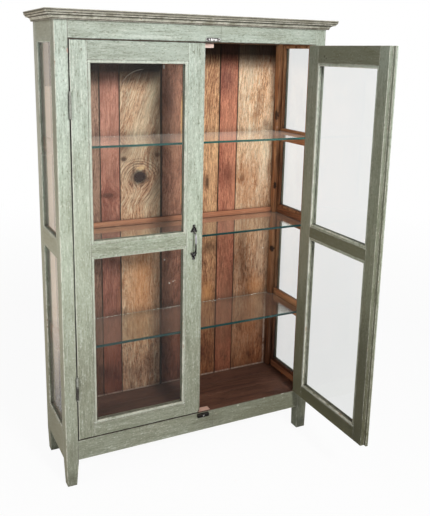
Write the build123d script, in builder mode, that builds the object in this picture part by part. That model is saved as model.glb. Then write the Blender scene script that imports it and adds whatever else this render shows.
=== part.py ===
from build123d import *
import os

# A two-door display cabinet of joined painted wood with glass on three sides.
# Millimetres, +Z up. The origin is on the floor at the centre of the carcass,
# +X is the right-hand side and -Y the front. The left door is shut and the
# right door stands open at a right angle.
os.makedirs("parts", exist_ok=True)

# Carcass
cabinet_width = 1120.0
cabinet_depth = 326.0
carcass_height = 1812.0

# Posts and their tapered feet
post_size = 48.0
post_round = 4.0
foot_height = 100.0
left_foot_taper_outside = 3.0
left_foot_taper_inside = 8.0
right_foot_taper = 1.5

# Rails between the posts, front and back
front_rail_thickness = 30.0
head_rail_height = 83.0
front_bottom_rail_low = 110.0
front_bottom_rail_height = 84.0
back_rail_thickness = 28.0
back_plank_thickness = 16.0

# Side frames
side_rail_thickness = 30.0
side_top_rail_height = 85.0
side_middle_rail_low = 940.0
side_middle_rail_height = 55.0
side_bottom_rail_low = 104.0
side_bottom_rail_height = 119.0

# Mortise and tenon joints
tenon_length = 24.0
tenon_thickness = 10.0
tenon_shoulder = 10.0
joint_clearance = 0.2

# Cornice and top
top_board_thickness = 14.0
cornice_projection = 35.0
cornice_height = 35.0
cornice_fillet = 4.5
cornice_step = 2.0
cornice_upper_band = 8.5
cornice_lower_band = 7.0
cornice_foot_height = 3.0
cornice_foot_projection = 8.0
cove_radius = 14.0

# Floor
floor_thickness = 16.0
floor_board_count = 3
floor_board_gap = 0.6
floor_cleat_size = 20.0

# Back planks of uneven width, left to right; the last one fills the rest
back_plank_widths = [201.6, 84.4, 185.0, 99.0, 177.0, 89.0]
back_plank_gap = 0.8
back_batten_thickness = 12.0
back_batten_height = 22.0

# Glass and glazing beads
pane_thickness = 4.0
pane_clearance = 1.0
bead_width = 12.0
bead_splay = 3.5
bead_quirk = 0.8
mitre_gap = 0.15
side_bead_setback = 2.0

# Glass shelves and the grooved cleats that hold them
shelf_thickness = 8.0
upper_shelf_low = 1340.6
middle_shelf_low = 959.3
lower_shelf_low = 557.0
shelf_front_clearance = 3.0
shelf_back_clearance = 2.0
shelf_groove_depth = 6.0
shelf_groove_clearance = 0.3
shelf_corner_clearance = 1.0
upper_cleat_height = 57.0
upper_cleat_below = 35.6
lower_cleat_height = 74.0
lower_cleat_below = 36.0
cleat_pane_clearance = 0.5

# Doors
door_gap = 2.0
door_thickness = 28.0
meeting_line = 7.0
hinge_stile_width = 65.0
meeting_stile_width = 62.0
door_top_rail_height = 68.0
door_middle_rail_low = 939.0
door_middle_rail_height = 46.0
door_bottom_rail_height = 54.7
lip_width = 12.0
lip_thickness = 11.0
lip_clearance = 1.0
door_tenon_length = 40.0
door_tenon_thickness = 9.0
right_door_open_angle = 90.0
peg_radius = 3.0
peg_side_count = 8
peg_inset = 20.0
peg_length = 22.0

# Butt hinges
hinge_length = 97.0
upper_hinge_level = 1499.0
lower_hinge_level = 415.0
hinge_offset = 5.0
hinge_barrel_radius = 4.8
hinge_pin_radius = 2.2
hinge_pin_clearance = 0.06
hinge_pin_head_radius = 3.8
hinge_pin_head_height = 1.6
hinge_leaf_thickness = 1.8
hinge_leaf_depth = 24.0
hinge_leaf_gap = 0.2
hinge_knuckle_count = 3
hinge_barrel_side_count = 16
hinge_knuckle_gap = 0.4
hinge_swing_clearance = 0.2

# Bowed handles with trefoil ends
handle_level = 951.0
handle_length = 146.0
handle_stile_offset = 31.0
handle_plate_thickness = 2.5
handle_body_radius = 9.5
handle_body_inset = 19.5
handle_lobe_radius = 4.5
handle_lobe_spread = 9.5
handle_lobe_inset = 27.0
handle_tip_radius = 5.5
handle_grip_projection = 21.5
handle_grip_radius = 3.3
handle_grip_side_count = 12
handle_grip_lean = 12.0
handle_grip_bend = 14.0

# Door stop and sill plate, partly hidden behind the left door's meeting stile
head_stop_left = -10.0
head_stop_right = 62.0
head_stop_thickness = 14.0
head_stop_rise = 21.0
head_stop_drop = 21.0
head_stop_bar_height = 17.0
head_stop_groove = 6.0
head_stop_round = 5.0
sill_plate_left = 11.0
sill_plate_right = 66.0
sill_plate_front_inset = 6.0
sill_plate_depth = 29.0
sill_plate_thickness = 1.2
sill_plate_chamfer = 0.5
stop_clearance = 1.0

# Turn buttons on the front rails, each on its own screw
head_button_middle = 43.5
head_button_length = 60.0
head_button_height = 12.0
head_button_thickness = 3.0
head_button_rise = 10.0
head_button_knob_radius = 4.8
head_button_knob_height = 3.0
head_button_knob_taper = 20.0
sill_button_middle = 28.0
sill_button_length = 52.0
sill_button_height = 14.0
sill_button_thickness = 12.0
sill_button_drop = 11.6
sill_button_round = 2.0
sill_button_chamfer = 1.5
button_washer_radius = 5.0
button_washer_thickness = 0.8
button_screw_radius = 2.0
button_screw_clearance = 0.06
button_screw_depth = 18.0
button_screw_play = 0.2
button_head_radius = 4.2
button_head_height = 2.0
button_head_taper = 30.0

# Places that follow from the sizes
left_face = -cabinet_width / 2
right_face = cabinet_width / 2
front_face = -cabinet_depth / 2
back_face = cabinet_depth / 2
opening_half_width = cabinet_width / 2 - post_size
side_half_opening = cabinet_depth / 2 - post_size
head_rail_low = carcass_height - head_rail_height
front_bottom_rail_top = front_bottom_rail_low + front_bottom_rail_height
floor_top = front_bottom_rail_top
plank_face = back_face - back_plank_thickness
back_rail_face = plank_face - back_rail_thickness
floor_low = floor_top - floor_thickness
side_inner = cabinet_width / 2 - side_rail_thickness
side_top_rail_low = carcass_height - side_top_rail_height
side_middle_rail_top = side_middle_rail_low + side_middle_rail_height
side_bottom_rail_top = side_bottom_rail_low + side_bottom_rail_height
side_bead_depth = (side_rail_thickness - side_bead_setback - pane_thickness) / 2
door_bead_depth = (door_thickness - pane_thickness) / 2
mortise_depth = tenon_length + 1.0
door_mortise_depth = door_tenon_length + 1.0

door_low = front_bottom_rail_top + door_gap
door_top = head_rail_low - door_gap
door_top_rail_low = door_top - door_top_rail_height
door_middle_rail_top = door_middle_rail_low + door_middle_rail_height
door_bottom_rail_top = door_low + door_bottom_rail_height
door_front = hinge_offset
door_back = hinge_offset + door_thickness
hinge_axis_x = opening_half_width - door_gap / 2
hinge_axis_y = front_face - hinge_offset
leaf_recess = hinge_leaf_thickness - (door_gap - hinge_leaf_gap) / 2
leaf_reach = hinge_offset + hinge_leaf_depth
knuckle_pitch = hinge_length / hinge_knuckle_count
hinge_levels = (lower_hinge_level, upper_hinge_level)

# Distance from each hinge axis to the door's front arris at the meeting line
left_door_reach = meeting_line - door_gap / 2 + hinge_axis_x
right_door_reach = hinge_axis_x - meeting_line - door_gap / 2

# Door frames of reference on the hinge axes: x runs along the shut door, y goes inwards
left_door_frame = Plane(
    origin=(-hinge_axis_x, hinge_axis_y, 0), x_dir=(1, 0, 0), z_dir=(0, 0, 1)
)
right_door_frame = Plane(
    origin=(hinge_axis_x, hinge_axis_y, 0), x_dir=(1, 0, 0), z_dir=(0, 0, 1)
).rotated((0, 0, right_door_open_angle))


def save(piece, name):
    piece.part.label = name
    export_step(piece.part, f"parts/{name}.step")


def span(low, high):
    return (low + high) / 2, high - low


def bar(radius, side_count, length):
    with BuildPart() as piece:
        with BuildSketch():
            RegularPolygon(radius, side_count)
        extrude(amount=length)
    return piece.part


def place_box(x_range, y_range, z_range, mode=Mode.ADD):
    x, width = span(*x_range)
    y, depth = span(*y_range)
    z, height = span(*z_range)
    with Locations((x, y, z)):
        Box(width, depth, height, mode=mode)


def mirror_range(side, low, high):
    return tuple(sorted((side * low, side * high)))


# Posts: square with one rounded arris, a tapered foot and mortises for the rails
def post(side, end):
    centre_x = side * (cabinet_width - post_size) / 2
    centre_y = end * (cabinet_depth - post_size) / 2
    taper_outside = left_foot_taper_outside if side < 0 else right_foot_taper
    taper_inside = left_foot_taper_inside if side < 0 else right_foot_taper
    foot_shift = (taper_inside - taper_outside) / 2
    foot_size = post_size - taper_inside - taper_outside
    outward = Axis((0, 0, 0), (side, end, 0))
    rail_depth = front_rail_thickness / 2
    if end > 0:
        rail_depth = back_plank_thickness + back_rail_thickness / 2
    bottom_top = front_bottom_rail_top if end < 0 else floor_low
    with BuildPart() as piece:
        with BuildSketch(Plane.XY.offset(foot_height)) as shaft:
            with Locations((centre_x, centre_y)):
                Rectangle(post_size, post_size)
            fillet(shaft.vertices().sort_by(outward)[-1], post_round)
        extrude(amount=carcass_height - foot_height)
        with BuildSketch(Plane.XY.offset(foot_height)) as ankle:
            with Locations((centre_x, centre_y)):
                Rectangle(post_size, post_size)
            fillet(ankle.vertices().sort_by(outward)[-1], post_round)
        with BuildSketch(Plane.XY) as foot:
            with Locations((centre_x + side * foot_shift, centre_y + end * foot_shift)):
                Rectangle(foot_size, foot_size)
            fillet(foot.vertices().sort_by(outward)[-1], post_round)
        loft()
        for low, high in (
            (front_bottom_rail_low, bottom_top),
            (head_rail_low, carcass_height),
        ):
            place_box(
                mirror_range(side, opening_half_width, opening_half_width + mortise_depth),
                span_about(end * (cabinet_depth / 2 - rail_depth), mortise_thickness()),
                (low + tenon_shoulder - joint_clearance, high - tenon_shoulder + joint_clearance),
                Mode.SUBTRACT,
            )
        for low, high in side_rail_levels:
            place_box(
                span_about(side * (cabinet_width - side_rail_thickness) / 2, mortise_thickness()),
                mirror_range(end, side_half_opening, side_half_opening + mortise_depth),
                (low + tenon_shoulder - joint_clearance, high - tenon_shoulder + joint_clearance),
                Mode.SUBTRACT,
            )
        if end < 0:
            cut_leaf_seats(side)
    return piece


def span_about(centre, size):
    return centre - size / 2, centre + size / 2


def mortise_thickness():
    return tenon_thickness + 2 * joint_clearance


def cut_leaf_seats(side):
    for level in hinge_levels:
        place_box(
            mirror_range(side, opening_half_width, opening_half_width + leaf_recess),
            (front_face, front_face + hinge_leaf_depth),
            span_about(level, hinge_length),
            Mode.SUBTRACT,
        )


side_rail_levels = (
    (side_bottom_rail_low, side_bottom_rail_top),
    (side_middle_rail_low, side_middle_rail_top),
    (side_top_rail_low, carcass_height),
)

for side, side_name in ((-1, "left"), (1, "right")):
    for end, end_name in ((-1, "front"), (1, "back")):
        save(post(side, end), f"{end_name}_{side_name}_post")


# Rails across the front and the back, with a tenon at each end
def cross_rail(y_range, low, high, screw_place=None):
    with BuildPart() as piece:
        place_box((-opening_half_width, opening_half_width), y_range, (low, high))
        middle = sum(y_range) / 2
        for side in (-1, 1):
            place_box(
                mirror_range(side, opening_half_width, opening_half_width + tenon_length),
                span_about(middle, tenon_thickness),
                (low + tenon_shoulder, high - tenon_shoulder),
            )
        if screw_place is not None:
            with Locations(screw_place):
                Cylinder(
                    button_screw_radius + joint_clearance,
                    button_screw_depth + joint_clearance,
                    align=(Align.CENTER, Align.CENTER, Align.MIN),
                    mode=Mode.SUBTRACT,
                )
    return piece


def button_screw_place(middle, level):
    return Location((middle, front_face, level), (-90, 0, 0))


front_rail_range = (front_face, front_face + front_rail_thickness)
back_rail_range = (back_rail_face, plank_face)
save(
    cross_rail(
        front_rail_range,
        head_rail_low,
        carcass_height,
        button_screw_place(head_button_middle, head_rail_low + head_button_rise),
    ),
    "front_head_rail",
)
save(
    cross_rail(
        front_rail_range,
        front_bottom_rail_low,
        front_bottom_rail_top,
        button_screw_place(sill_button_middle, front_bottom_rail_top - sill_button_drop),
    ),
    "front_bottom_rail",
)
save(cross_rail(back_rail_range, head_rail_low, carcass_height), "back_head_rail")
save(cross_rail(back_rail_range, front_bottom_rail_low, floor_low), "back_bottom_rail")


# Rails of the side frames; the middle one is grooved for the middle shelf
def side_rail(side, low, high, groove_low=None):
    with BuildPart() as piece:
        place_box(
            mirror_range(side, side_inner, cabinet_width / 2),
            (-side_half_opening, side_half_opening),
            (low, high),
        )
        for end in (-1, 1):
            place_box(
                span_about(side * (cabinet_width - side_rail_thickness) / 2, tenon_thickness),
                mirror_range(end, side_half_opening, side_half_opening + tenon_length),
                (low + tenon_shoulder, high - tenon_shoulder),
            )
        if groove_low is not None:
            cut_shelf_groove(side, groove_low)
    return piece


def cut_shelf_groove(side, shelf_low):
    place_box(
        mirror_range(side, side_inner, side_inner + shelf_groove_depth),
        (-side_half_opening, side_half_opening),
        (shelf_low, shelf_low + shelf_thickness + shelf_groove_clearance),
        Mode.SUBTRACT,
    )


# Two panes in each side between outer and inner beads, and grooved cleats across them
def bead_strip(length, depth):
    half = length / 2 - mitre_gap
    with BuildPart() as strip:
        with BuildSketch(Plane.XY):
            with BuildLine():
                Polyline(
                    (-half, 0),
                    (half, 0),
                    (half - bead_width, bead_width),
                    (-half + bead_width, bead_width),
                    close=True,
                )
            make_face()
        extrude(amount=depth)
        show_edges = strip.edges().filter_by(Axis.X).group_by(Axis.Z)[-1]
        chamfer(show_edges.sort_by(Axis.Y)[-1], bead_splay)
        quirk_edges = strip.edges().filter_by(Axis.X).group_by(Axis.Z)[-1]
        chamfer(quirk_edges.sort_by(Axis.Y)[0], bead_quirk)
    return strip.part


def ring_places(face, width, height):
    for turn, reach in ((0, height), (90, width), (180, height), (270, width)):
        yield face.location * Location((0, 0, 0), (0, 0, turn)) * Location((0, -reach / 2, 0))


def add_bead_ring(face, width, height, strips):
    for index, place in enumerate(ring_places(face, width, height)):
        with Locations(place):
            add(strips[index % 2])


side_windows = (
    (side_bottom_rail_top, side_middle_rail_low),
    (side_middle_rail_top, side_top_rail_low),
)
side_window_width = 2 * side_half_opening
pane_outer = cabinet_width / 2 - side_bead_depth
pane_inner = pane_outer - pane_thickness
shelf_cleats = (
    (lower_shelf_low - lower_cleat_below, lower_cleat_height, lower_shelf_low),
    (upper_shelf_low - upper_cleat_below, upper_cleat_height, upper_shelf_low),
)


def side_beads(side):
    rings = []
    for low, high in side_windows:
        middle = (low + high) / 2
        strips = (bead_strip(side_window_width, side_bead_depth), bead_strip(high - low, side_bead_depth))
        outside = Plane((side * pane_outer, 0, middle), x_dir=(0, side, 0), z_dir=(side, 0, 0))
        inside = Plane((side * pane_inner, 0, middle), x_dir=(0, -side, 0), z_dir=(-side, 0, 0))
        rings.append((outside, high - low, strips))
        rings.append((inside, high - low, strips))
    with BuildPart() as piece:
        for face, height, strips in rings:
            add_bead_ring(face, side_window_width, height, strips)
        for low, height, shelf_low in shelf_cleats:
            place_box(
                mirror_range(side, side_inner, pane_inner),
                (-side_half_opening, side_half_opening),
                (low, low + height),
                Mode.SUBTRACT,
            )
    return piece


def side_panes(side):
    with BuildPart() as piece:
        for low, high in side_windows:
            place_box(
                mirror_range(side, pane_inner, pane_outer),
                (-side_half_opening + pane_clearance, side_half_opening - pane_clearance),
                (low + pane_clearance, high - pane_clearance),
            )
    return piece


def side_cleats(side):
    with BuildPart() as piece:
        for low, height, shelf_low in shelf_cleats:
            place_box(
                mirror_range(side, side_inner, pane_inner - cleat_pane_clearance),
                (-side_half_opening, side_half_opening),
                (low, low + height),
            )
            cut_shelf_groove(side, shelf_low)
    return piece


for side, side_name in ((-1, "left"), (1, "right")):
    save(side_rail(side, side_top_rail_low, carcass_height), f"{side_name}_top_rail")
    save(
        side_rail(side, side_middle_rail_low, side_middle_rail_top, middle_shelf_low),
        f"{side_name}_middle_rail",
    )
    save(
        side_rail(side, side_bottom_rail_low, side_bottom_rail_top),
        f"{side_name}_bottom_rail",
    )
    save(side_panes(side), f"{side_name}_side_panes")
    save(side_beads(side), f"{side_name}_side_beads")
    save(side_cleats(side), f"{side_name}_shelf_cleats")


# Cornice: one moulded profile along the front and mitred returns down both sides
cornice_top = carcass_height + top_board_thickness

band_start = cornice_fillet + cornice_step / 2
band_end = cornice_fillet + cornice_upper_band
lower_end = band_end + cornice_lower_band
cornice_foot_start = cornice_height - cornice_foot_height
upper_band_face = cornice_projection - cornice_step
lower_band_face = upper_band_face - 2 * cornice_step
cove_top = lower_band_face - 3 * cornice_step
cove_foot = cornice_foot_projection + cornice_step / 2

# Local x runs outwards from the carcass and local y runs down from the top edge
with BuildSketch() as cornice_profile:
    with BuildLine():
        Polyline(
            (0, 0),
            (cornice_projection, 0),
            (cornice_projection, cornice_fillet),
            (upper_band_face, cornice_fillet),
            (upper_band_face, band_start),
        )
        ThreePointArc(
            (upper_band_face, band_start),
            (upper_band_face + cornice_step / 4, (band_start + band_end) / 2),
            (upper_band_face - cornice_step / 2, band_end),
        )
        Line((upper_band_face - cornice_step / 2, band_end), (lower_band_face, band_end))
        ThreePointArc(
            (lower_band_face, band_end),
            (lower_band_face - cornice_step / 4, (band_end + lower_end) / 2),
            (lower_band_face - 2 * cornice_step, lower_end),
        )
        Line((lower_band_face - 2 * cornice_step, lower_end), (cove_top, lower_end))
        RadiusArc((cove_top, lower_end), (cove_foot, cornice_foot_start), cove_radius)
        Polyline(
            (cove_foot, cornice_foot_start),
            (cornice_foot_projection, cornice_foot_start),
            (cornice_foot_projection, cornice_height),
            (0, cornice_height),
            (0, 0),
        )
    make_face()


def mitre(side):
    return Plane(
        origin=(side * cabinet_width / 2, front_face, cornice_top),
        x_dir=(side, -1, 0),
        z_dir=(-side, -1, 0),
    )


with BuildPart() as front_cornice:
    with BuildSketch(Plane((0, front_face, cornice_top), x_dir=(0, -1, 0), z_dir=(1, 0, 0))):
        add(cornice_profile.sketch)
    extrude(amount=cabinet_width / 2 + cornice_projection, both=True)
    for side in (-1, 1):
        split(bisect_by=mitre(side), keep=Keep.TOP)
save(front_cornice, "front_cornice")

for side, side_name in ((-1, "left"), (1, "right")):
    return_start = (side * cabinet_width / 2, back_face, cornice_top)
    with BuildPart() as cornice_return:
        with BuildSketch(Plane(return_start, x_dir=(side, 0, 0), z_dir=(0, side, 0))):
            add(cornice_profile.sketch)
        extrude(amount=-side * (cabinet_depth + cornice_projection))
        split(bisect_by=mitre(side), keep=Keep.BOTTOM)
    save(cornice_return, f"{side_name}_cornice")

with BuildPart() as top_board:
    place_box((left_face, right_face), (front_face, back_face), (carcass_height, cornice_top))
save(top_board, "top_board")


# Floor: boards notched round the posts, on cleats and on the back rail
floor_front = front_face + front_rail_thickness
floor_board_depth = (plank_face - floor_front) / floor_board_count

with BuildPart() as floor_boards:
    for index in range(floor_board_count):
        board_front = floor_front + index * floor_board_depth
        place_box(
            (-side_inner, side_inner),
            (board_front, board_front + floor_board_depth - floor_board_gap),
            (floor_low, floor_top),
        )
    for side in (-1, 1):
        for end in (-1, 1):
            place_box(
                mirror_range(side, opening_half_width, side_inner),
                mirror_range(end, side_half_opening, cabinet_depth / 2),
                (floor_low, floor_top),
                Mode.SUBTRACT,
            )
save(floor_boards, "floor_boards")

with BuildPart() as floor_cleats:
    place_box(
        (-opening_half_width, opening_half_width),
        (floor_front, floor_front + floor_cleat_size),
        (floor_low - floor_cleat_size, floor_low),
    )
    for side in (-1, 1):
        place_box(
            mirror_range(side, side_inner - floor_cleat_size, side_inner),
            (floor_front + floor_cleat_size + floor_board_gap, side_half_opening),
            (floor_low - floor_cleat_size, floor_low),
        )
save(floor_cleats, "floor_cleats")


# Back: upright planks between the back posts, and two battens that hold the middle shelf
with BuildPart() as back_planks:
    plank_left = -opening_half_width
    for width in back_plank_widths:
        place_box(
            (plank_left, plank_left + width - back_plank_gap),
            (plank_face, back_face),
            (front_bottom_rail_low, carcass_height),
        )
        plank_left += width
    place_box(
        (plank_left, opening_half_width),
        (plank_face, back_face),
        (front_bottom_rail_low, carcass_height),
    )
save(back_planks, "back_planks")

with BuildPart() as back_battens:
    for low in (
        middle_shelf_low - back_batten_height,
        middle_shelf_low + shelf_thickness + shelf_groove_clearance,
    ):
        place_box(
            (-opening_half_width, opening_half_width),
            (plank_face - back_batten_thickness, plank_face),
            (low, low + back_batten_height),
        )
save(back_battens, "back_battens")


# Glass shelves, notched round the four posts
def shelf(low):
    end = side_inner + shelf_groove_depth - pane_clearance
    front = front_face + door_thickness + shelf_front_clearance
    back = plank_face - shelf_back_clearance
    with BuildPart() as piece:
        place_box((-end, end), (front, back), (low, low + shelf_thickness))
        for side in (-1, 1):
            for corner in (-1, 1):
                place_box(
                    mirror_range(side, opening_half_width - shelf_corner_clearance, end),
                    mirror_range(
                        corner, side_half_opening - shelf_corner_clearance, cabinet_depth / 2
                    ),
                    (low, low + shelf_thickness),
                    Mode.SUBTRACT,
                )
    return piece


save(shelf(upper_shelf_low), "upper_shelf")
save(shelf(middle_shelf_low), "middle_shelf")
save(shelf(lower_shelf_low), "lower_shelf")


# Door stop: a grooved bar behind the head rail. Sill plate: where the doors meet the floor
stop_front = front_face + door_thickness + stop_clearance
stop_low = head_rail_low - head_stop_drop
groove_low = stop_low + head_stop_bar_height
groove_high = head_rail_low + stop_clearance

with BuildPart() as head_stop:
    with BuildSketch(Plane((head_stop_left, 0, 0), x_dir=(0, 1, 0), z_dir=(1, 0, 0))) as section:
        with BuildLine():
            Polyline(
                (stop_front, stop_low),
                (stop_front, groove_low),
                (stop_front + head_stop_groove, groove_low),
                (stop_front + head_stop_groove, groove_high),
                (floor_front, groove_high),
                (floor_front, head_rail_low + head_stop_rise),
                (floor_front + head_stop_thickness, head_rail_low + head_stop_rise),
                (floor_front + head_stop_thickness, stop_low),
                close=True,
            )
        make_face()
        fillet(section.vertices().group_by(Axis.Y)[0], head_stop_round)
    extrude(amount=head_stop_right - head_stop_left)
save(head_stop, "head_stop")

with BuildPart() as sill_plate:
    place_box(
        (sill_plate_left, sill_plate_right),
        (front_face + sill_plate_front_inset, front_face + sill_plate_front_inset + sill_plate_depth),
        (floor_top, floor_top + sill_plate_thickness),
    )
    chamfer(sill_plate.edges().group_by(Axis.Z)[-1], sill_plate_chamfer)
save(sill_plate, "sill_plate")


# Turn buttons: each swings on a screw, a washer clear of the rail
def button_plane(middle, level):
    return Plane((middle, front_face, level), x_dir=(1, 0, 0), z_dir=(0, -1, 0))


head_button_plane = button_plane(head_button_middle, head_rail_low + head_button_rise)
sill_button_plane = button_plane(sill_button_middle, front_bottom_rail_top - sill_button_drop)
button_bore = button_screw_radius + button_screw_clearance

with BuildPart() as head_button:
    with BuildSketch(head_button_plane.offset(button_washer_thickness)):
        SlotOverall(head_button_length, head_button_height)
        Circle(button_bore, mode=Mode.SUBTRACT)
    extrude(amount=head_button_thickness)
    with BuildSketch(head_button_plane.offset(button_washer_thickness + head_button_thickness)):
        with Locations((head_button_length / 2 - head_button_height / 2, 0)):
            Circle(head_button_knob_radius)
    extrude(amount=head_button_knob_height, taper=head_button_knob_taper)
save(head_button, "head_button")

with BuildPart() as sill_button:
    with BuildSketch(sill_button_plane.offset(button_washer_thickness)):
        RectangleRounded(sill_button_length, sill_button_height, sill_button_round)
    extrude(amount=sill_button_thickness)
    chamfer(sill_button.edges().group_by(Axis.Y)[0], sill_button_chamfer)
    with BuildSketch(sill_button_plane):
        Circle(button_bore)
    extrude(amount=sill_button_thickness + 2 * button_washer_thickness, mode=Mode.SUBTRACT)
save(sill_button, "sill_button")

with BuildPart() as button_screws:
    for plane, thickness in (
        (head_button_plane, head_button_thickness),
        (sill_button_plane, sill_button_thickness),
    ):
        shank_end = button_washer_thickness + thickness + button_screw_play
        with BuildSketch(plane.offset(-button_screw_depth)):
            Circle(button_screw_radius)
        extrude(amount=button_screw_depth + shank_end)
        with BuildSketch(plane.offset(shank_end)):
            Circle(button_head_radius)
        extrude(amount=button_head_height, taper=button_head_taper)
        with BuildSketch(plane):
            Circle(button_washer_radius)
            Circle(button_bore, mode=Mode.SUBTRACT)
        extrude(amount=button_washer_thickness - button_screw_clearance)
save(button_screws, "button_screws")


# Hinges: a leaf let into each side of the gap, three knuckles and a headed pin
def add_hinge_leaf(side, first_knuckle):
    barrel_length = knuckle_pitch - hinge_knuckle_gap
    barrel = bar(hinge_barrel_radius, hinge_barrel_side_count, barrel_length)
    for level in hinge_levels:
        place_box(
            mirror_range(side, hinge_leaf_gap / 2, hinge_leaf_gap / 2 + hinge_leaf_thickness),
            (0, leaf_reach),
            span_about(level, hinge_length),
        )
        for index in range(hinge_knuckle_count):
            middle = level + (index - (hinge_knuckle_count - 1) / 2) * knuckle_pitch
            own = index % 2 == first_knuckle
            if own:
                with Locations((0, 0, middle - barrel_length / 2)):
                    add(barrel)
            else:
                with Locations((0, 0, middle)):
                    Cylinder(
                        hinge_barrel_radius + hinge_swing_clearance,
                        knuckle_pitch,
                        mode=Mode.SUBTRACT,
                    )
        with Locations((0, 0, level)):
            Cylinder(
                hinge_pin_radius + hinge_pin_clearance, 2 * hinge_length, mode=Mode.SUBTRACT
            )


frame_hinges = (
    (Plane((-hinge_axis_x, hinge_axis_y, 0)), -1),
    (Plane((hinge_axis_x, hinge_axis_y, 0)), 1),
)
leaf_parts = []
for frame, side in frame_hinges:
    with BuildPart(frame) as frame_leaves:
        add_hinge_leaf(side, 0)
    leaf_parts.append(frame_leaves.part)

with BuildPart() as frame_hinge_leaves:
    add(leaf_parts)
save(frame_hinge_leaves, "frame_hinge_leaves")

with BuildPart() as hinge_pins:
    for side in (-1, 1):
        for level in hinge_levels:
            with Locations((side * hinge_axis_x, hinge_axis_y, level)):
                Cylinder(hinge_pin_radius, hinge_length)
            with Locations((side * hinge_axis_x, hinge_axis_y, level + hinge_length / 2)):
                Cylinder(
                    hinge_pin_head_radius,
                    hinge_pin_head_height,
                    align=(Align.CENTER, Align.CENTER, Align.MIN),
                )
save(hinge_pins, "hinge_pins")


# Doors: each is built on its own hinge axis
door_rail_levels = (
    ("bottom_rail", door_low, door_bottom_rail_top),
    ("middle_rail", door_middle_rail_low, door_middle_rail_top),
    ("top_rail", door_top_rail_low, door_top),
)
hinge_edge = door_gap / 2
rail_start = hinge_edge + hinge_stile_width


def door_tenon_range():
    return span_about(hinge_offset + door_thickness / 2, door_tenon_thickness)


def cut_door_mortises(side, shoulder, direction):
    for name, low, high in door_rail_levels:
        far = shoulder + direction * door_mortise_depth
        place_box(
            mirror_range(side, shoulder, far),
            span_about(
                hinge_offset + door_thickness / 2, door_tenon_thickness + 2 * joint_clearance
            ),
            (low + tenon_shoulder - joint_clearance, high - tenon_shoulder + joint_clearance),
            Mode.SUBTRACT,
        )


def peg_places(side, shoulders):
    for along in shoulders:
        for name, low, high in door_rail_levels:
            yield side * along, door_front, (low + high) / 2


def cut_peg_holes(side, shoulders):
    hole = bar(peg_radius + joint_clearance / 2, peg_side_count, peg_length + joint_clearance)
    for place in peg_places(side, shoulders):
        with Locations(Location(place, (-90, 0, 0))):
            add(hole, mode=Mode.SUBTRACT)


def stile_profile(side, points):
    with BuildSketch() as profile:
        with BuildLine():
            Polyline([(side * x, y) for x, y in points], close=True)
        make_face()
    return profile.sketch


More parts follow.
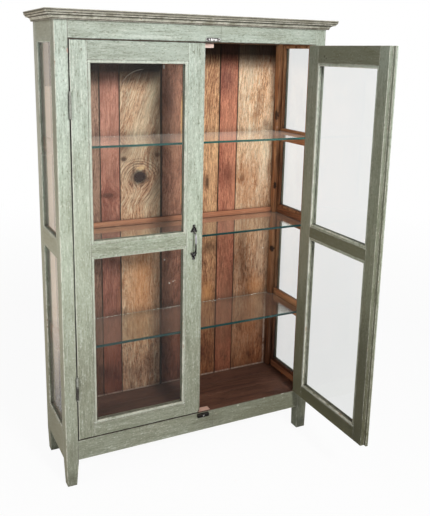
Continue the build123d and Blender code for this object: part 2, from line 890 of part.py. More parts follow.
def door(side, name, frame, reach, lapped):
    stile_start = reach - meeting_stile_width
    door_height = door_top - door_low
    hinge_peg = rail_start - peg_inset
    meeting_peg = stile_start + peg_inset

    with BuildPart(frame) as hinge_stile:
        with BuildSketch(frame.offset(door_low)):
            with Locations((side * (hinge_edge + rail_start) / 2, (door_front + door_back) / 2)):
                Rectangle(hinge_stile_width, door_thickness)
        extrude(amount=door_height)
        cut_door_mortises(side, rail_start, -1)
        cut_peg_holes(side, [hinge_peg])
        for level in hinge_levels:
            place_box(
                mirror_range(side, hinge_edge, hinge_edge + leaf_recess),
                (door_front, leaf_reach),
                span_about(level, hinge_length),
                Mode.SUBTRACT,
            )
    save(hinge_stile, f"{name}_door_hinge_stile")

    # The left door's inner lip lies behind the right door's outer lip
    if lapped:
        outline = [
            (stile_start, door_front),
            (reach, door_front),
            (reach, door_front + lip_thickness),
            (reach - lip_width, door_front + lip_thickness),
            (reach - lip_width, door_back),
            (stile_start, door_back),
        ]
    else:
        lip_front = door_front + lip_thickness + lip_clearance
        outline = [
            (stile_start, door_front),
            (reach, door_front),
            (reach, lip_front),
            (reach + lip_width, lip_front),
            (reach + lip_width, door_back),
            (stile_start, door_back),
        ]
    with BuildPart(frame) as meeting_stile:
        with BuildSketch(frame.offset(door_low)):
            add(stile_profile(side, outline))
        extrude(amount=door_height)
        cut_door_mortises(side, stile_start, 1)
        cut_peg_holes(side, [meeting_peg])
    save(meeting_stile, f"{name}_door_meeting_stile")

    for rail_name, low, high in door_rail_levels:
        with BuildPart(frame) as rail:
            place_box(
                mirror_range(side, rail_start, stile_start), (door_front, door_back), (low, high)
            )
            place_box(
                mirror_range(side, rail_start - door_tenon_length, stile_start + door_tenon_length),
                door_tenon_range(),
                (low + tenon_shoulder, high - tenon_shoulder),
            )
            cut_peg_holes(side, [hinge_peg, meeting_peg])
        save(rail, f"{name}_door_{rail_name}")

    openings = (
        (door_bottom_rail_top, door_middle_rail_low),
        (door_middle_rail_top, door_top_rail_low),
    )
    glass_front = door_front + door_bead_depth
    glass_back = glass_front + pane_thickness
    opening_width = stile_start - rail_start
    opening_middle = side * (rail_start + stile_start) / 2
    with BuildPart(frame) as panes:
        for low, high in openings:
            place_box(
                mirror_range(side, rail_start + pane_clearance, stile_start - pane_clearance),
                (glass_front, glass_back),
                (low + pane_clearance, high - pane_clearance),
            )
    save(panes, f"{name}_door_panes")

    rings = []
    for low, high in openings:
        strips = (bead_strip(opening_width, door_bead_depth), bead_strip(high - low, door_bead_depth))
        middle = (low + high) / 2
        outside = Plane((opening_middle, glass_front, middle), x_dir=(1, 0, 0), z_dir=(0, -1, 0))
        inside = Plane((opening_middle, glass_back, middle), x_dir=(-1, 0, 0), z_dir=(0, 1, 0))
        rings.append((outside, high - low, strips))
        rings.append((inside, high - low, strips))
    with BuildPart(frame) as beads:
        for face, height, strips in rings:
            add_bead_ring(face, opening_width, height, strips)
    save(beads, f"{name}_door_beads")

    peg = bar(peg_radius, peg_side_count, peg_length)
    with BuildPart(frame) as pegs:
        for place in peg_places(side, [hinge_peg, meeting_peg]):
            with Locations(Location(place, (-90, 0, 0))):
                add(peg)
    save(pegs, f"{name}_door_pegs")

    with BuildPart(frame) as leaves:
        add_hinge_leaf(side, 1)
    save(leaves, f"{name}_door_hinge_leaves")

    handle(side, name, frame, reach - handle_stile_offset)


# Handle: two trefoil plates joined by a faceted grip that bows away from the door
def handle(side, name, frame, along):
    face = Plane(
        frame.from_local_coords((side * along, door_front, handle_level)),
        x_dir=frame.x_dir,
        z_dir=-frame.y_dir,
    )
    half = handle_length / 2
    lobe_level = half - handle_lobe_inset
    profile = Plane(face.origin, x_dir=face.z_dir, z_dir=face.z_dir.cross(face.y_dir))
    with BuildPart() as piece:
        with BuildSketch(face):
            for end in (-1, 1):
                with Locations((0, end * (half - handle_body_inset))):
                    Circle(handle_body_radius)
                with Locations(
                    (-handle_lobe_spread, end * lobe_level), (handle_lobe_spread, end * lobe_level)
                ):
                    Circle(handle_lobe_radius)
                with Locations((0, end * (half - handle_tip_radius))):
                    Circle(handle_tip_radius)
        extrude(amount=handle_plate_thickness)
        with BuildLine(profile) as bow:
            FilletPolyline(
                (handle_plate_thickness / 2, -lobe_level),
                (handle_grip_projection, handle_grip_lean - lobe_level),
                (handle_grip_projection, lobe_level - handle_grip_lean),
                (handle_plate_thickness / 2, lobe_level),
                radius=handle_grip_bend,
            )
        with BuildSketch(Plane(origin=bow.line @ 0, z_dir=bow.line % 0)):
            RegularPolygon(handle_grip_radius, handle_grip_side_count)
        sweep(path=bow.line)
        split(bisect_by=face, keep=Keep.TOP)
    save(piece, f"{name}_door_handle")


door(1, "left", left_door_frame, left_door_reach, False)
door(-1, "right", right_door_frame, right_door_reach, True)
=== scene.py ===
import math
import random

import bmesh
import bpy
from mathutils import Matrix, Vector


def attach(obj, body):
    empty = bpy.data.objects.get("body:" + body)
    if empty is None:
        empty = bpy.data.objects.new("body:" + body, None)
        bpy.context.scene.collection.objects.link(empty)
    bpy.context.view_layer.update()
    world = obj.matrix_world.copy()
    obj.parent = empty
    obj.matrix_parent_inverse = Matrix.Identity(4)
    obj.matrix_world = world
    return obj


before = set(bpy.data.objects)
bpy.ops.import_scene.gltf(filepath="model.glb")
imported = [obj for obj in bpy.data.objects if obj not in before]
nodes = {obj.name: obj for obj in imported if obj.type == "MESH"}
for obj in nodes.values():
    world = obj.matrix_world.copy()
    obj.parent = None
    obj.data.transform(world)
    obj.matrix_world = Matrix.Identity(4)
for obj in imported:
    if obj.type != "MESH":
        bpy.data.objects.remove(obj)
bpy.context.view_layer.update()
random.seed(7)
print("frame loaded:", len(nodes), "nodes")

floatSocket, vectorSocket = "NodeSocketFloat", "NodeSocketVector"
black, white = (0, 0, 0, 1), (1, 1, 1, 1)


# Short ways to write the shader tree in hand; a tone is written as six hex digits
inHand = {"tree": None}


def feed(value, socket):
    inHand["tree"].links.new(value, socket)


def put(kind, inputs=None, **settings):
    made = inHand["tree"].nodes.new(kind)
    for name, value in settings.items():
        setattr(made, name, value)
    for key, value in (inputs or {}).items():
        if isinstance(value, bpy.types.NodeSocket):
            feed(value, made.inputs[key])
        else:
            made.inputs[key].default_value = value
    return made


def calc(operation, first, second=0.0, third=None, clamp=False):
    inputs = {0: first, 1: second}
    if third is not None:
        inputs[2] = third
    return put("ShaderNodeMath", inputs, operation=operation, use_clamp=clamp).outputs[0]


def times(first, second):
    return calc("MULTIPLY", first, second)


def minus(first, second):
    return calc("SUBTRACT", first, second)


def vectorCalc(operation, first, second=None):
    inputs = {0: first} if second is None else {0: first, 1: second}
    return put("ShaderNodeVectorMath", inputs, operation=operation).outputs[0]


def lengthOf(vector):
    return put("ShaderNodeVectorMath", {0: vector}, operation="LENGTH").outputs["Value"]


def toned(text):
    values = [int(text[i:i + 2], 16) / 255 for i in (0, 2, 4)]
    return (*[v / 12.92 if v <= 0.04045 else ((v + 0.055) / 1.055) ** 2.4 for v in values], 1.0)


def blend(factor, first, second, mode="MIX"):
    first, second = [toned(colour) if isinstance(colour, str) else colour for colour in (first, second)]
    return put("ShaderNodeMix", {0: factor, 6: first, 7: second},
               data_type="RGBA", blend_type=mode, clamp_factor=True).outputs[2]


def ramp(factor, stops, interpolation="LINEAR"):
    made = put("ShaderNodeValToRGB", {0: factor})
    made.color_ramp.interpolation = interpolation
    while len(made.color_ramp.elements) < len(stops):
        made.color_ramp.elements.new(0.5)
    for element, (position, colour) in zip(made.color_ramp.elements, stops):
        element.position = position
        element.color = colour
    return made.outputs[0]


def grey(value):
    return (value, value, value, 1)


def spread(value, low, high, newLow=0.0, newHigh=1.0):
    return put("ShaderNodeMapRange", {0: value, 1: low, 2: high, 3: newLow, 4: newHigh}).outputs[0]


# Lays a tone over a colour, by a mask and a share
def dab(colour, mask, share, tone):
    return blend(times(mask, share), colour, tone)


# Lays a tone over a colour, from where the mask starts to where it is full, up to a share
def laid(colour, mask, begins, ends, share, tone):
    return blend(spread(mask, begins, ends, 0.0, share), colour, tone)


# Each layer is a mask, where it starts and where it is full, its share and its tone
def addLayers(colour, layers, masks, tones, shares):
    for mask, begins, ends, share, tone in layers:
        if share in shares:
            cover = spread(masks[mask], begins, ends)
            colour = dab(colour, cover, shares[share], tones[tone])
        else:
            colour = laid(colour, masks[mask], begins, ends, share, tones[tone])
    return colour


def noise(vector, scale, detail=3.0, roughness=0.55, seed=None, distortion=0.0):
    inputs = {"Vector": vector, "Scale": scale, "Detail": detail, "Roughness": roughness,
              "Distortion": distortion}
    if seed is not None:
        inputs["W"] = seed
    return put("ShaderNodeTexNoise", inputs, noise_dimensions="3D" if seed is None else "4D").outputs[0]


def stretch(vector, scale, turn=(0, 0, 0)):
    return put("ShaderNodeMapping", {"Vector": vector, "Scale": scale, "Rotation": turn}).outputs[0]


# Noise drawn out along Z; its look is a scale, a stretch, a detail and a roughness
def drawn(vector, look, seed, distortion=0.0):
    scale, length, detail, roughness = look
    return noise(stretch(vector, (1, 1, length)), scale, detail, roughness, seed, distortion)


def split(vector):
    return put("ShaderNodeSeparateXYZ", {0: vector}).outputs


def gather(x, y, z):
    return put("ShaderNodeCombineXYZ", {0: x, 1: y, 2: z}).outputs[0]


def within(value, low, high, soft):
    rise = spread(value, low - soft, low + soft)
    fall = spread(value, high - soft, high + soft, 1.0, 0.0)
    return times(rise, fall)


def bump(shader, strength, distance, height):
    inputs = {"Strength": strength, "Distance": distance, "Height": height}
    feed(put("ShaderNodeBump", inputs).outputs[0], shader.inputs["Normal"])


def newGroup(name, inputs, outputs):
    made = inHand["tree"] = bpy.data.node_groups.new(name, "ShaderNodeTree")
    for label, kind, value in inputs:
        socket = made.interface.new_socket(name=label, in_out="INPUT", socket_type=kind)
        if value is not None:
            socket.default_value = value
    for label, kind in outputs:
        made.interface.new_socket(name=label, in_out="OUTPUT", socket_type=kind)
    return made, made.nodes.new("NodeGroupInput").outputs, made.nodes.new("NodeGroupOutput").inputs


def place(group, inputs):
    return put("ShaderNodeGroup", inputs, node_tree=group).outputs


# Grain along local Z: fine streaks, broad tone, growth rings and dark pores
grainLook = {
    # scale, stretch along the grain, detail and roughness of each noise
    "streak": (420.0, 0.045, 3.0, 0.6), "tone": (9.0, 0.22, 3.0, 0.6), "pore": (900.0, 0.028, 1.0, 0.5),
    "bendScale": 5.5, "bendStretch": 0.35,
    # the rings run round a heart behind the face, which wavers along the grain
    "heartDepth": 0.11, "heartWaver": 0.05, "waverRate": 2.1,
    "ring": ((0.0, 0.0), (0.55, 0.35), (0.9, 1.0), (1.0, 0.1)), "poreBegins": 0.6, "poreFull": 0.72,
}


def makeGrain():
    look = grainLook
    tree, given, result = newGroup(
        "woodGrain",
        [("Vector", vectorSocket, None), ("Seed", floatSocket, 0.0), ("Ring Size", floatSocket, 0.012),
         ("Wander", floatSocket, 0.03)],
        [("Streak", floatSocket), ("Tone", floatSocket), ("Rings", floatSocket), ("Pores", floatSocket)])
    vector, seed = given["Vector"], given["Seed"]
    bent = stretch(vector, (1, 1, look["bendStretch"]))
    bend = put("ShaderNodeTexNoise", {"Vector": bent, "Scale": look["bendScale"], "Detail": 3.0, "W": seed},
               noise_dimensions="4D").outputs["Color"]
    centred = vectorCalc("SUBTRACT", bend, (0.5, 0.5, 0.5))
    moved = put("ShaderNodeVectorMath", {0: centred, "Scale": given["Wander"]}, operation="SCALE").outputs[0]
    x, y, z = split(vectorCalc("ADD", vector, moved))[:3]
    waver = calc("SINE", calc("MULTIPLY_ADD", z, look["waverRate"], seed))
    heart = calc("MULTIPLY_ADD", waver, look["heartWaver"], look["heartDepth"])
    away = lengthOf(gather(x, calc("ADD", y, heart), 0.0))
    saw = calc("FRACT", calc("DIVIDE", away, given["Ring Size"]))
    feed(drawn(vector, look["streak"], seed), result["Streak"])
    feed(drawn(vector, look["tone"], seed), result["Tone"])
    feed(ramp(saw, [(at, grey(value)) for at, value in look["ring"]]), result["Rings"])
    pores = drawn(vector, look["pore"], seed)
    feed(spread(pores, look["poreBegins"], look["poreFull"]), result["Pores"])
    return tree


# Worn arrises, and painted shade in crevices from ambient occlusion; the arris is found in the piece's own
# axes
wearAndShadeLook = {
    # how square to one axis the smoothed normal is on a flat face and on an arris
    "flat": 0.995, "arris": 0.86,
    # how open a place is where the painted crevice shade begins and where it is full
    "open": 0.85, "closed": 0.25, "patchScale": 26.0, "samples": 6,
}


def makeWearAndCreviceShade():
    look = wearAndShadeLook
    tree, given, result = newGroup(
        "edgeWearAndCreviceShade",
        [("Vector", vectorSocket, None), ("Radius", floatSocket, 0.004), ("Depth", floatSocket, 0.012),
         ("Seed", floatSocket, 0.0)],
        [("Arris", floatSocket), ("Crevice Shade", floatSocket), ("Patchy", floatSocket)])
    samples = look["samples"]
    bevel = put("ShaderNodeBevel", {"Radius": given["Radius"]}, samples=samples).outputs[0]
    local = put("ShaderNodeVectorTransform", {0: bevel}, vector_type="NORMAL",
                convert_from="WORLD", convert_to="OBJECT").outputs[0]
    x, y, z = split(vectorCalc("ABSOLUTE", vectorCalc("NORMALIZE", local)))[:3]
    largest = calc("MAXIMUM", calc("MAXIMUM", x, y), z)
    shade = put("ShaderNodeAmbientOcclusion", {"Distance": given["Depth"]}, samples=samples).outputs["AO"]
    patchy = noise(given["Vector"], look["patchScale"], 5.0, 0.7, given["Seed"])
    feed(spread(largest, look["flat"], look["arris"]), result["Arris"])
    feed(spread(shade, look["open"], look["closed"]), result["Crevice Shade"])
    feed(patchy, result["Patchy"])
    return tree


grainGroup = makeGrain()
wearAndShadeGroup = makeWearAndCreviceShade()
turns = {"z": (0, 0, 0), "x": (0, math.radians(90), 0), "y": (math.radians(90), 0, 0)}


def start(name):
    made = bpy.data.materials.new(name)
    made.use_nodes = True
    inHand["tree"] = made.node_tree
    made.node_tree.nodes.clear()
    shader = put("ShaderNodeBsdfPrincipled")
    output = put("ShaderNodeOutputMaterial", {"Surface": shader.outputs[0]})
    where = put("ShaderNodeTexCoord").outputs["Object"]
    return made, shader, output, where


def finishWood(made, shader, colour, gloss, strength, depth, relief):
    feed(colour, shader.inputs["Base Color"])
    feed(gloss, shader.inputs["Roughness"])
    bump(shader, strength, depth, relief)
    shader.inputs["Specular IOR Level"].default_value = 0.3
    return made


# Worn sage paint; bare wood shows where the chosen region says so
paintLook = {
    # tones from the floor up to the head, as shares of this height; the darkening low down is partly painted
    # shade of the light's falloff and partly dirt near the floor
    "height": 1.65, "heights": ((0.0, "8B8E7D"), (0.3, "959885"), (0.62, "B4BEAA"), (1.0, "BDC9BC")),
    "streak": "62664F", "pale": "E6EADF", "stain": "84826C", "grimeAndShade": "352D24",
    "chip": "E2E0D2", "underWood": "94745C", "olive": "59573F", "umber": "6E5F4A",
    "leftSideShade": "A89E84", "leftSideShadeShare": 0.45,
    # scale, stretch along the grain, detail and roughness of each noise
    "noises": {"brush": (150.0, 0.09, 5.0, 0.75), "coarse": (38.0, 0.12, 3.0, 0.6),
               "mottle": (210.0, 0.45, 3.0, 0.7), "cloud": (7.0, 0.4, 4.0, 0.6),
               "speck": (230.0, 0.6, 2.0, 0.5)},
    # noise, where it starts and where it is full, share and tone; "height" is a share that grows upwards
    "layers": (("cloud", 0.42, 0.7, 0.45, "stain"), ("coarse", 0.5, 0.78, 0.5, "streak"),
               ("brush", 0.52, 0.7, 0.75, "streak"), ("brush", 0.46, 0.3, "height", "pale"),
               ("mottle", 0.55, 0.68, 0.7, "streak"), ("mottle", 0.43, 0.3, "height", "pale")),
    # from and to a height, and the share there
    "paleHeights": (0.1, 1.1, 0.4, 0.75), "oliveHeights": (0.25, 1.65),
    # low down the front, towards the right, lies a painted shadow of the open door: from and to across, two
    # heights and a soft edge
    "doorShadowAcross": (-0.1, 0.35), "doorShadowHeights": (0.09, 0.28, 0.03), "doorShadowShare": 0.5,
    "pores": 0.4, "chips": 0.8, "specks": 0.5, "rubbed": 0.8, "creviceShade": 0.9,
}
woodPalettes = {
    "frameInside": ("BA7C52", "683C26", "E6B080", "8E5636", "24130C"),
    "railInside": ("8E5C3E", "4E2C1C", "B87C56", "6E4028", "1E100A"),
    "floor": ("5E3F32", "3C2720", "7A5544", "33211A", "1A0F0B"),
    "batten": ("BE7C5A", "945A40", "D09A78", "A06A4C", "442418"),
    "stop": ("D8AC9A", "B8887A", "E6C4B4", "C49884", "6A4638"),
    # the head stop is the sill plate's wood made brighter: painted light
    "litHeadStop": ("F0CCBC", "D8A898", "FFF0E8", "E4BCAA", "8A6050"),
    "under": ("7D5A41", "5E412F", "8F6C51", "6A4A36", "2B1B12"),
}
insideLook = {
    "streak": "3E2216", "creviceShade": "1E100A", "creviceShadeShare": 0.8,
    # painted shade, darker towards the floor, and a pale tan tone in the back left corner
    "lowShadeTone": "5A3828", "lowFrom": 1.3, "lowTo": 0.2, "lowShadeShare": 0.85,
    "cornerTone": "EAD2B4", "cornerEdge": "5E6058", "cornerShare": 0.9,
    # old hinge marks and stains on the back right post
    "spots": (
        ((0.512, 0.122, 1.42), (0.012, 0.012, 0.024), "1C1210", 0.9),
        ((0.512, 0.1, 1.396), (0.012, 0.014, 0.012), "5C646E", 0.85),
        ((0.512, 0.106, 1.366), (0.01, 0.012, 0.01), "D2A894", 0.7),
        ((0.512, 0.11, 1.095), (0.012, 0.014, 0.02), "1C1210", 0.9),
        ((0.512, 0.12, 0.79), (0.014, 0.016, 0.014), "140C0A", 0.95),
        ((0.512, 0.122, 1.24), (0.01, 0.008, 0.03), "D09A6C", 0.5),
        ((0.512, 0.118, 0.62), (0.01, 0.008, 0.05), "C08A60", 0.5),
    ),
}


def bareWoodColour(grain, palette):
    base = blend(grain["Rings"], palette[0], palette[1])
    base = blend(spread(grain["Tone"], 0.35, 0.7), base, palette[2])
    base = laid(base, grain["Streak"], 0.4, 0.75, 0.55, palette[3])
    return dab(base, grain["Pores"], 0.7, palette[4])


# Each line is an axis, a place on it, half a width, a tone and a share of cover
def addLines(colour, where, lines):
    parts = split(where)
    uneven = noise(where, 34.0, 4.0, 0.7)
    for axis, at, half, tone, share in lines:
        away = calc("ABSOLUTE", minus(parts["xyz".index(axis)], at))
        inner = calc("MULTIPLY_ADD", minus(uneven, 0.5), -half * 2.4, away)
        colour = laid(colour, inner, half + 0.0004, half - 0.0006, share, tone)
    return colour


# Each spot is a middle, its half sizes, a tone and a share of cover, with a ragged edge that is
# crisp on small spots and soft on large ones
def addSpots(colour, where, spots):
    ragged = noise(where, 160.0, 3.0, 0.6)
    for middle, half, tone, share in spots:
        outer, inner = (1.15, 0.8) if min(half[0], half[2]) < 0.02 else (1.6, 0.2)
        away = lengthOf(vectorCalc("DIVIDE", vectorCalc("SUBTRACT", where, middle), half))
        torn = calc("MULTIPLY_ADD", minus(ragged, 0.5), 1.6, away)
        colour = laid(colour, torn, outer, inner, share, tone)
    return colour


# Bare wood of the frame, where it shows inside the case
def insideWood(where, grain, wearAndShade, coarse, palette):
    look = insideLook
    x, y, z = split(where)[:3]
    wood = bareWoodColour(grain, woodPalettes[palette])
    wood = laid(wood, coarse, 0.5, 0.62, 0.65, look["streak"])
    # painted shade in the crevices
    wood = dab(wood, wearAndShade["Crevice Shade"], look["creviceShadeShare"], look["creviceShade"])
    wood = addSpots(wood, where, look["spots"])
    if palette == "frameInside":
        # painted shade, darker towards the floor
        low = spread(z, look["lowFrom"], look["lowTo"], 0.0, look["lowShadeShare"])
        wood = blend(low, wood, look["lowShadeTone"], "MULTIPLY")
    corner = times(calc("LESS_THAN", x, -0.5), calc("GREATER_THAN", y, 0.1))
    cornerTone = blend(spread(x, -0.538, -0.534), look["cornerEdge"], look["cornerTone"])
    return dab(wood, corner, look["cornerShare"], cornerTone)


# Olive is the share of the darker tone low down and high up; on the open door it is kept to the inner face,
# and its rise low down there is painted shade
def paintedWood(name, grainAxis, seed, inside=None, olive=(0.0, 0.0), umber=0.0, arrisRadius=0.004,
                lines=(), innerWood="frameInside", spots=(), dullInside=False):
    look = paintLook
    made, shader, output, where = start(name)
    along = stretch(where, (1, 1, 1), turn=turns[grainAxis])
    grain = place(grainGroup, {"Vector": along, "Seed": seed, "Ring Size": 0.009, "Wander": 0.02})
    wearAndShade = place(wearAndShadeGroup, {"Vector": where, "Radius": arrisRadius, "Depth": 0.012, "Seed": seed})
    x, y, z = split(where)[:3]
    noises = {key: drawn(along, values, seed) for key, values in look["noises"].items()}
    brush, speck = noises["brush"], noises["speck"]
    stops = [(at, toned(tone)) for at, tone in look["heights"]]
    colour = ramp(spread(z, 0.0, look["height"]), stops)
    paleShare = spread(z, *look["paleHeights"])
    colour = addLayers(colour, look["layers"], noises, look, {"height": paleShare})
    # olive tone; on the open door its rise low down is painted shade
    if max(olive) > 0:
        dull = spread(z, *look["oliveHeights"], *olive)
        if dullInside:
            dull = times(dull, spread(x, 0.503, 0.499, 0.1, 1.0))
        colour = blend(dull, colour, look["olive"])
    if umber:
        colour = blend(umber, colour, look["umber"])
    # painted shade on the faces turned to the left
    facingX = split(put("ShaderNodeTexCoord").outputs["Normal"])[0]
    leftward = times(spread(facingX, -0.6, -0.9), calc("LESS_THAN", x, -0.5))
    colour = dab(colour, leftward, look["leftSideShadeShare"], look["leftSideShade"])
    # painted shadow of the open door, low on the front towards the right
    shaded = times(spread(x, *look["doorShadowAcross"]), within(z, *look["doorShadowHeights"]))
    colour = dab(colour, shaded, look["doorShadowShare"], look["olive"])
    colour = dab(colour, grain["Pores"], look["pores"], look["grimeAndShade"])
    chipped = times(spread(speck, 0.66, 0.72), paleShare)
    colour = dab(colour, chipped, look["chips"], look["chip"])
    colour = dab(colour, spread(speck, 0.31, 0.26), look["specks"], look["grimeAndShade"])
    # rubbed arrises show pale ground, and bare wood where they are rubbed most
    for begins, ends, tone in ((0.4, 0.58, "chip"), (0.6, 0.66, "underWood")):
        rub = calc("MULTIPLY", wearAndShade["Arris"], spread(wearAndShade["Patchy"], begins, ends), clamp=True)
        colour = dab(colour, rub, look["rubbed"], look[tone])
    # painted shade in the crevices, in the grime tone
    colour = dab(colour, wearAndShade["Crevice Shade"], look["creviceShade"], look["grimeAndShade"])
    colour = addSpots(addLines(colour, where, lines), where, spots)
    if inside:
        wood = insideWood(where, grain, wearAndShade, noises["coarse"], innerWood)
        colour = blend(inside(where), colour, wood)
    relief = calc("MULTIPLY_ADD", brush, 0.8, times(grain["Pores"], -0.5))
    return finishWood(made, shader, colour, spread(brush, 0.2, 0.8, 0.66, 0.45), 0.45, 0.001, relief)


# Bare wood inside the case, and on the top of the front bottom rail behind its front arris
caseInside = {"half": 0.545, "front": -0.1345, "back": 0.1475, "bottom": 0.1885, "railTop": 0.3}


def insideRegion(where):
    x, y, z = split(where)[:3]
    across = calc("LESS_THAN", calc("ABSOLUTE", x), caseInside["half"])
    behind = calc("GREATER_THAN", y, caseInside["front"])
    before = calc("LESS_THAN", y, caseInside["back"])
    above = calc("GREATER_THAN", z, caseInside["bottom"])
    return times(times(across, behind), times(before, above))


def railTopRegion(where):
    normal = put("ShaderNodeTexCoord").outputs["Normal"]
    upward = calc("GREATER_THAN", split(normal)[2], 0.7)
    onTop = times(upward, calc("LESS_THAN", split(where)[2], caseInside["railTop"]))
    return calc("MAXIMUM", onTop, insideRegion(where))


# The floor boards are darker behind the door that stands shut
floorShade = {"tone": "4E382C", "share": 0.88, "back": 0.1, "front": -0.13, "left": -0.1, "right": 0.1}


def shutSide(where):
    x, y = split(where)[:2]
    forward = spread(y, floorShade["back"], floorShade["front"], 0.0, floorShade["share"])
    return times(forward, spread(x, floorShade["right"], floorShade["left"]))


def bareWood(name, grainAxis, paletteName, seed=0.0, roughness=0.5, shade=None):
    made, shader, output, where = start(name)
    palette = woodPalettes[paletteName]
    along = stretch(where, (1, 1, 1), turn=turns[grainAxis])
    grain = place(grainGroup, {"Vector": along, "Seed": seed, "Ring Size": 0.008, "Wander": 0.03})
    wearAndShade = place(wearAndShadeGroup, {"Vector": where, "Radius": 0.003, "Depth": 0.03, "Seed": seed})
    colour = bareWoodColour(grain, palette)
    rub = calc("MULTIPLY", wearAndShade["Arris"], spread(wearAndShade["Patchy"], 0.4, 0.65), clamp=True)
    colour = dab(colour, rub, 0.4, palette[2])
    # painted shade in the crevices
    colour = dab(colour, wearAndShade["Crevice Shade"], 0.75, palette[4])
    mottle = drawn(along, (30.0, 0.5, 5.0, 0.75), seed)
    colour = laid(colour, mottle, 0.52, 0.66, 0.6, palette[3])
    colour = laid(colour, mottle, 0.44, 0.3, 0.5, palette[2])
    if shade:
        colour = blend(shade(where), colour, floorShade["tone"], "MULTIPLY")
    gloss = spread(grain["Streak"], 0.2, 0.8, roughness + 0.1, roughness - 0.1)
    relief = calc("MULTIPLY_ADD", grain["Streak"], 0.6, times(grain["Pores"], -0.6))
    return finishWood(made, shader, colour, gloss, 0.3, 0.0006, relief)


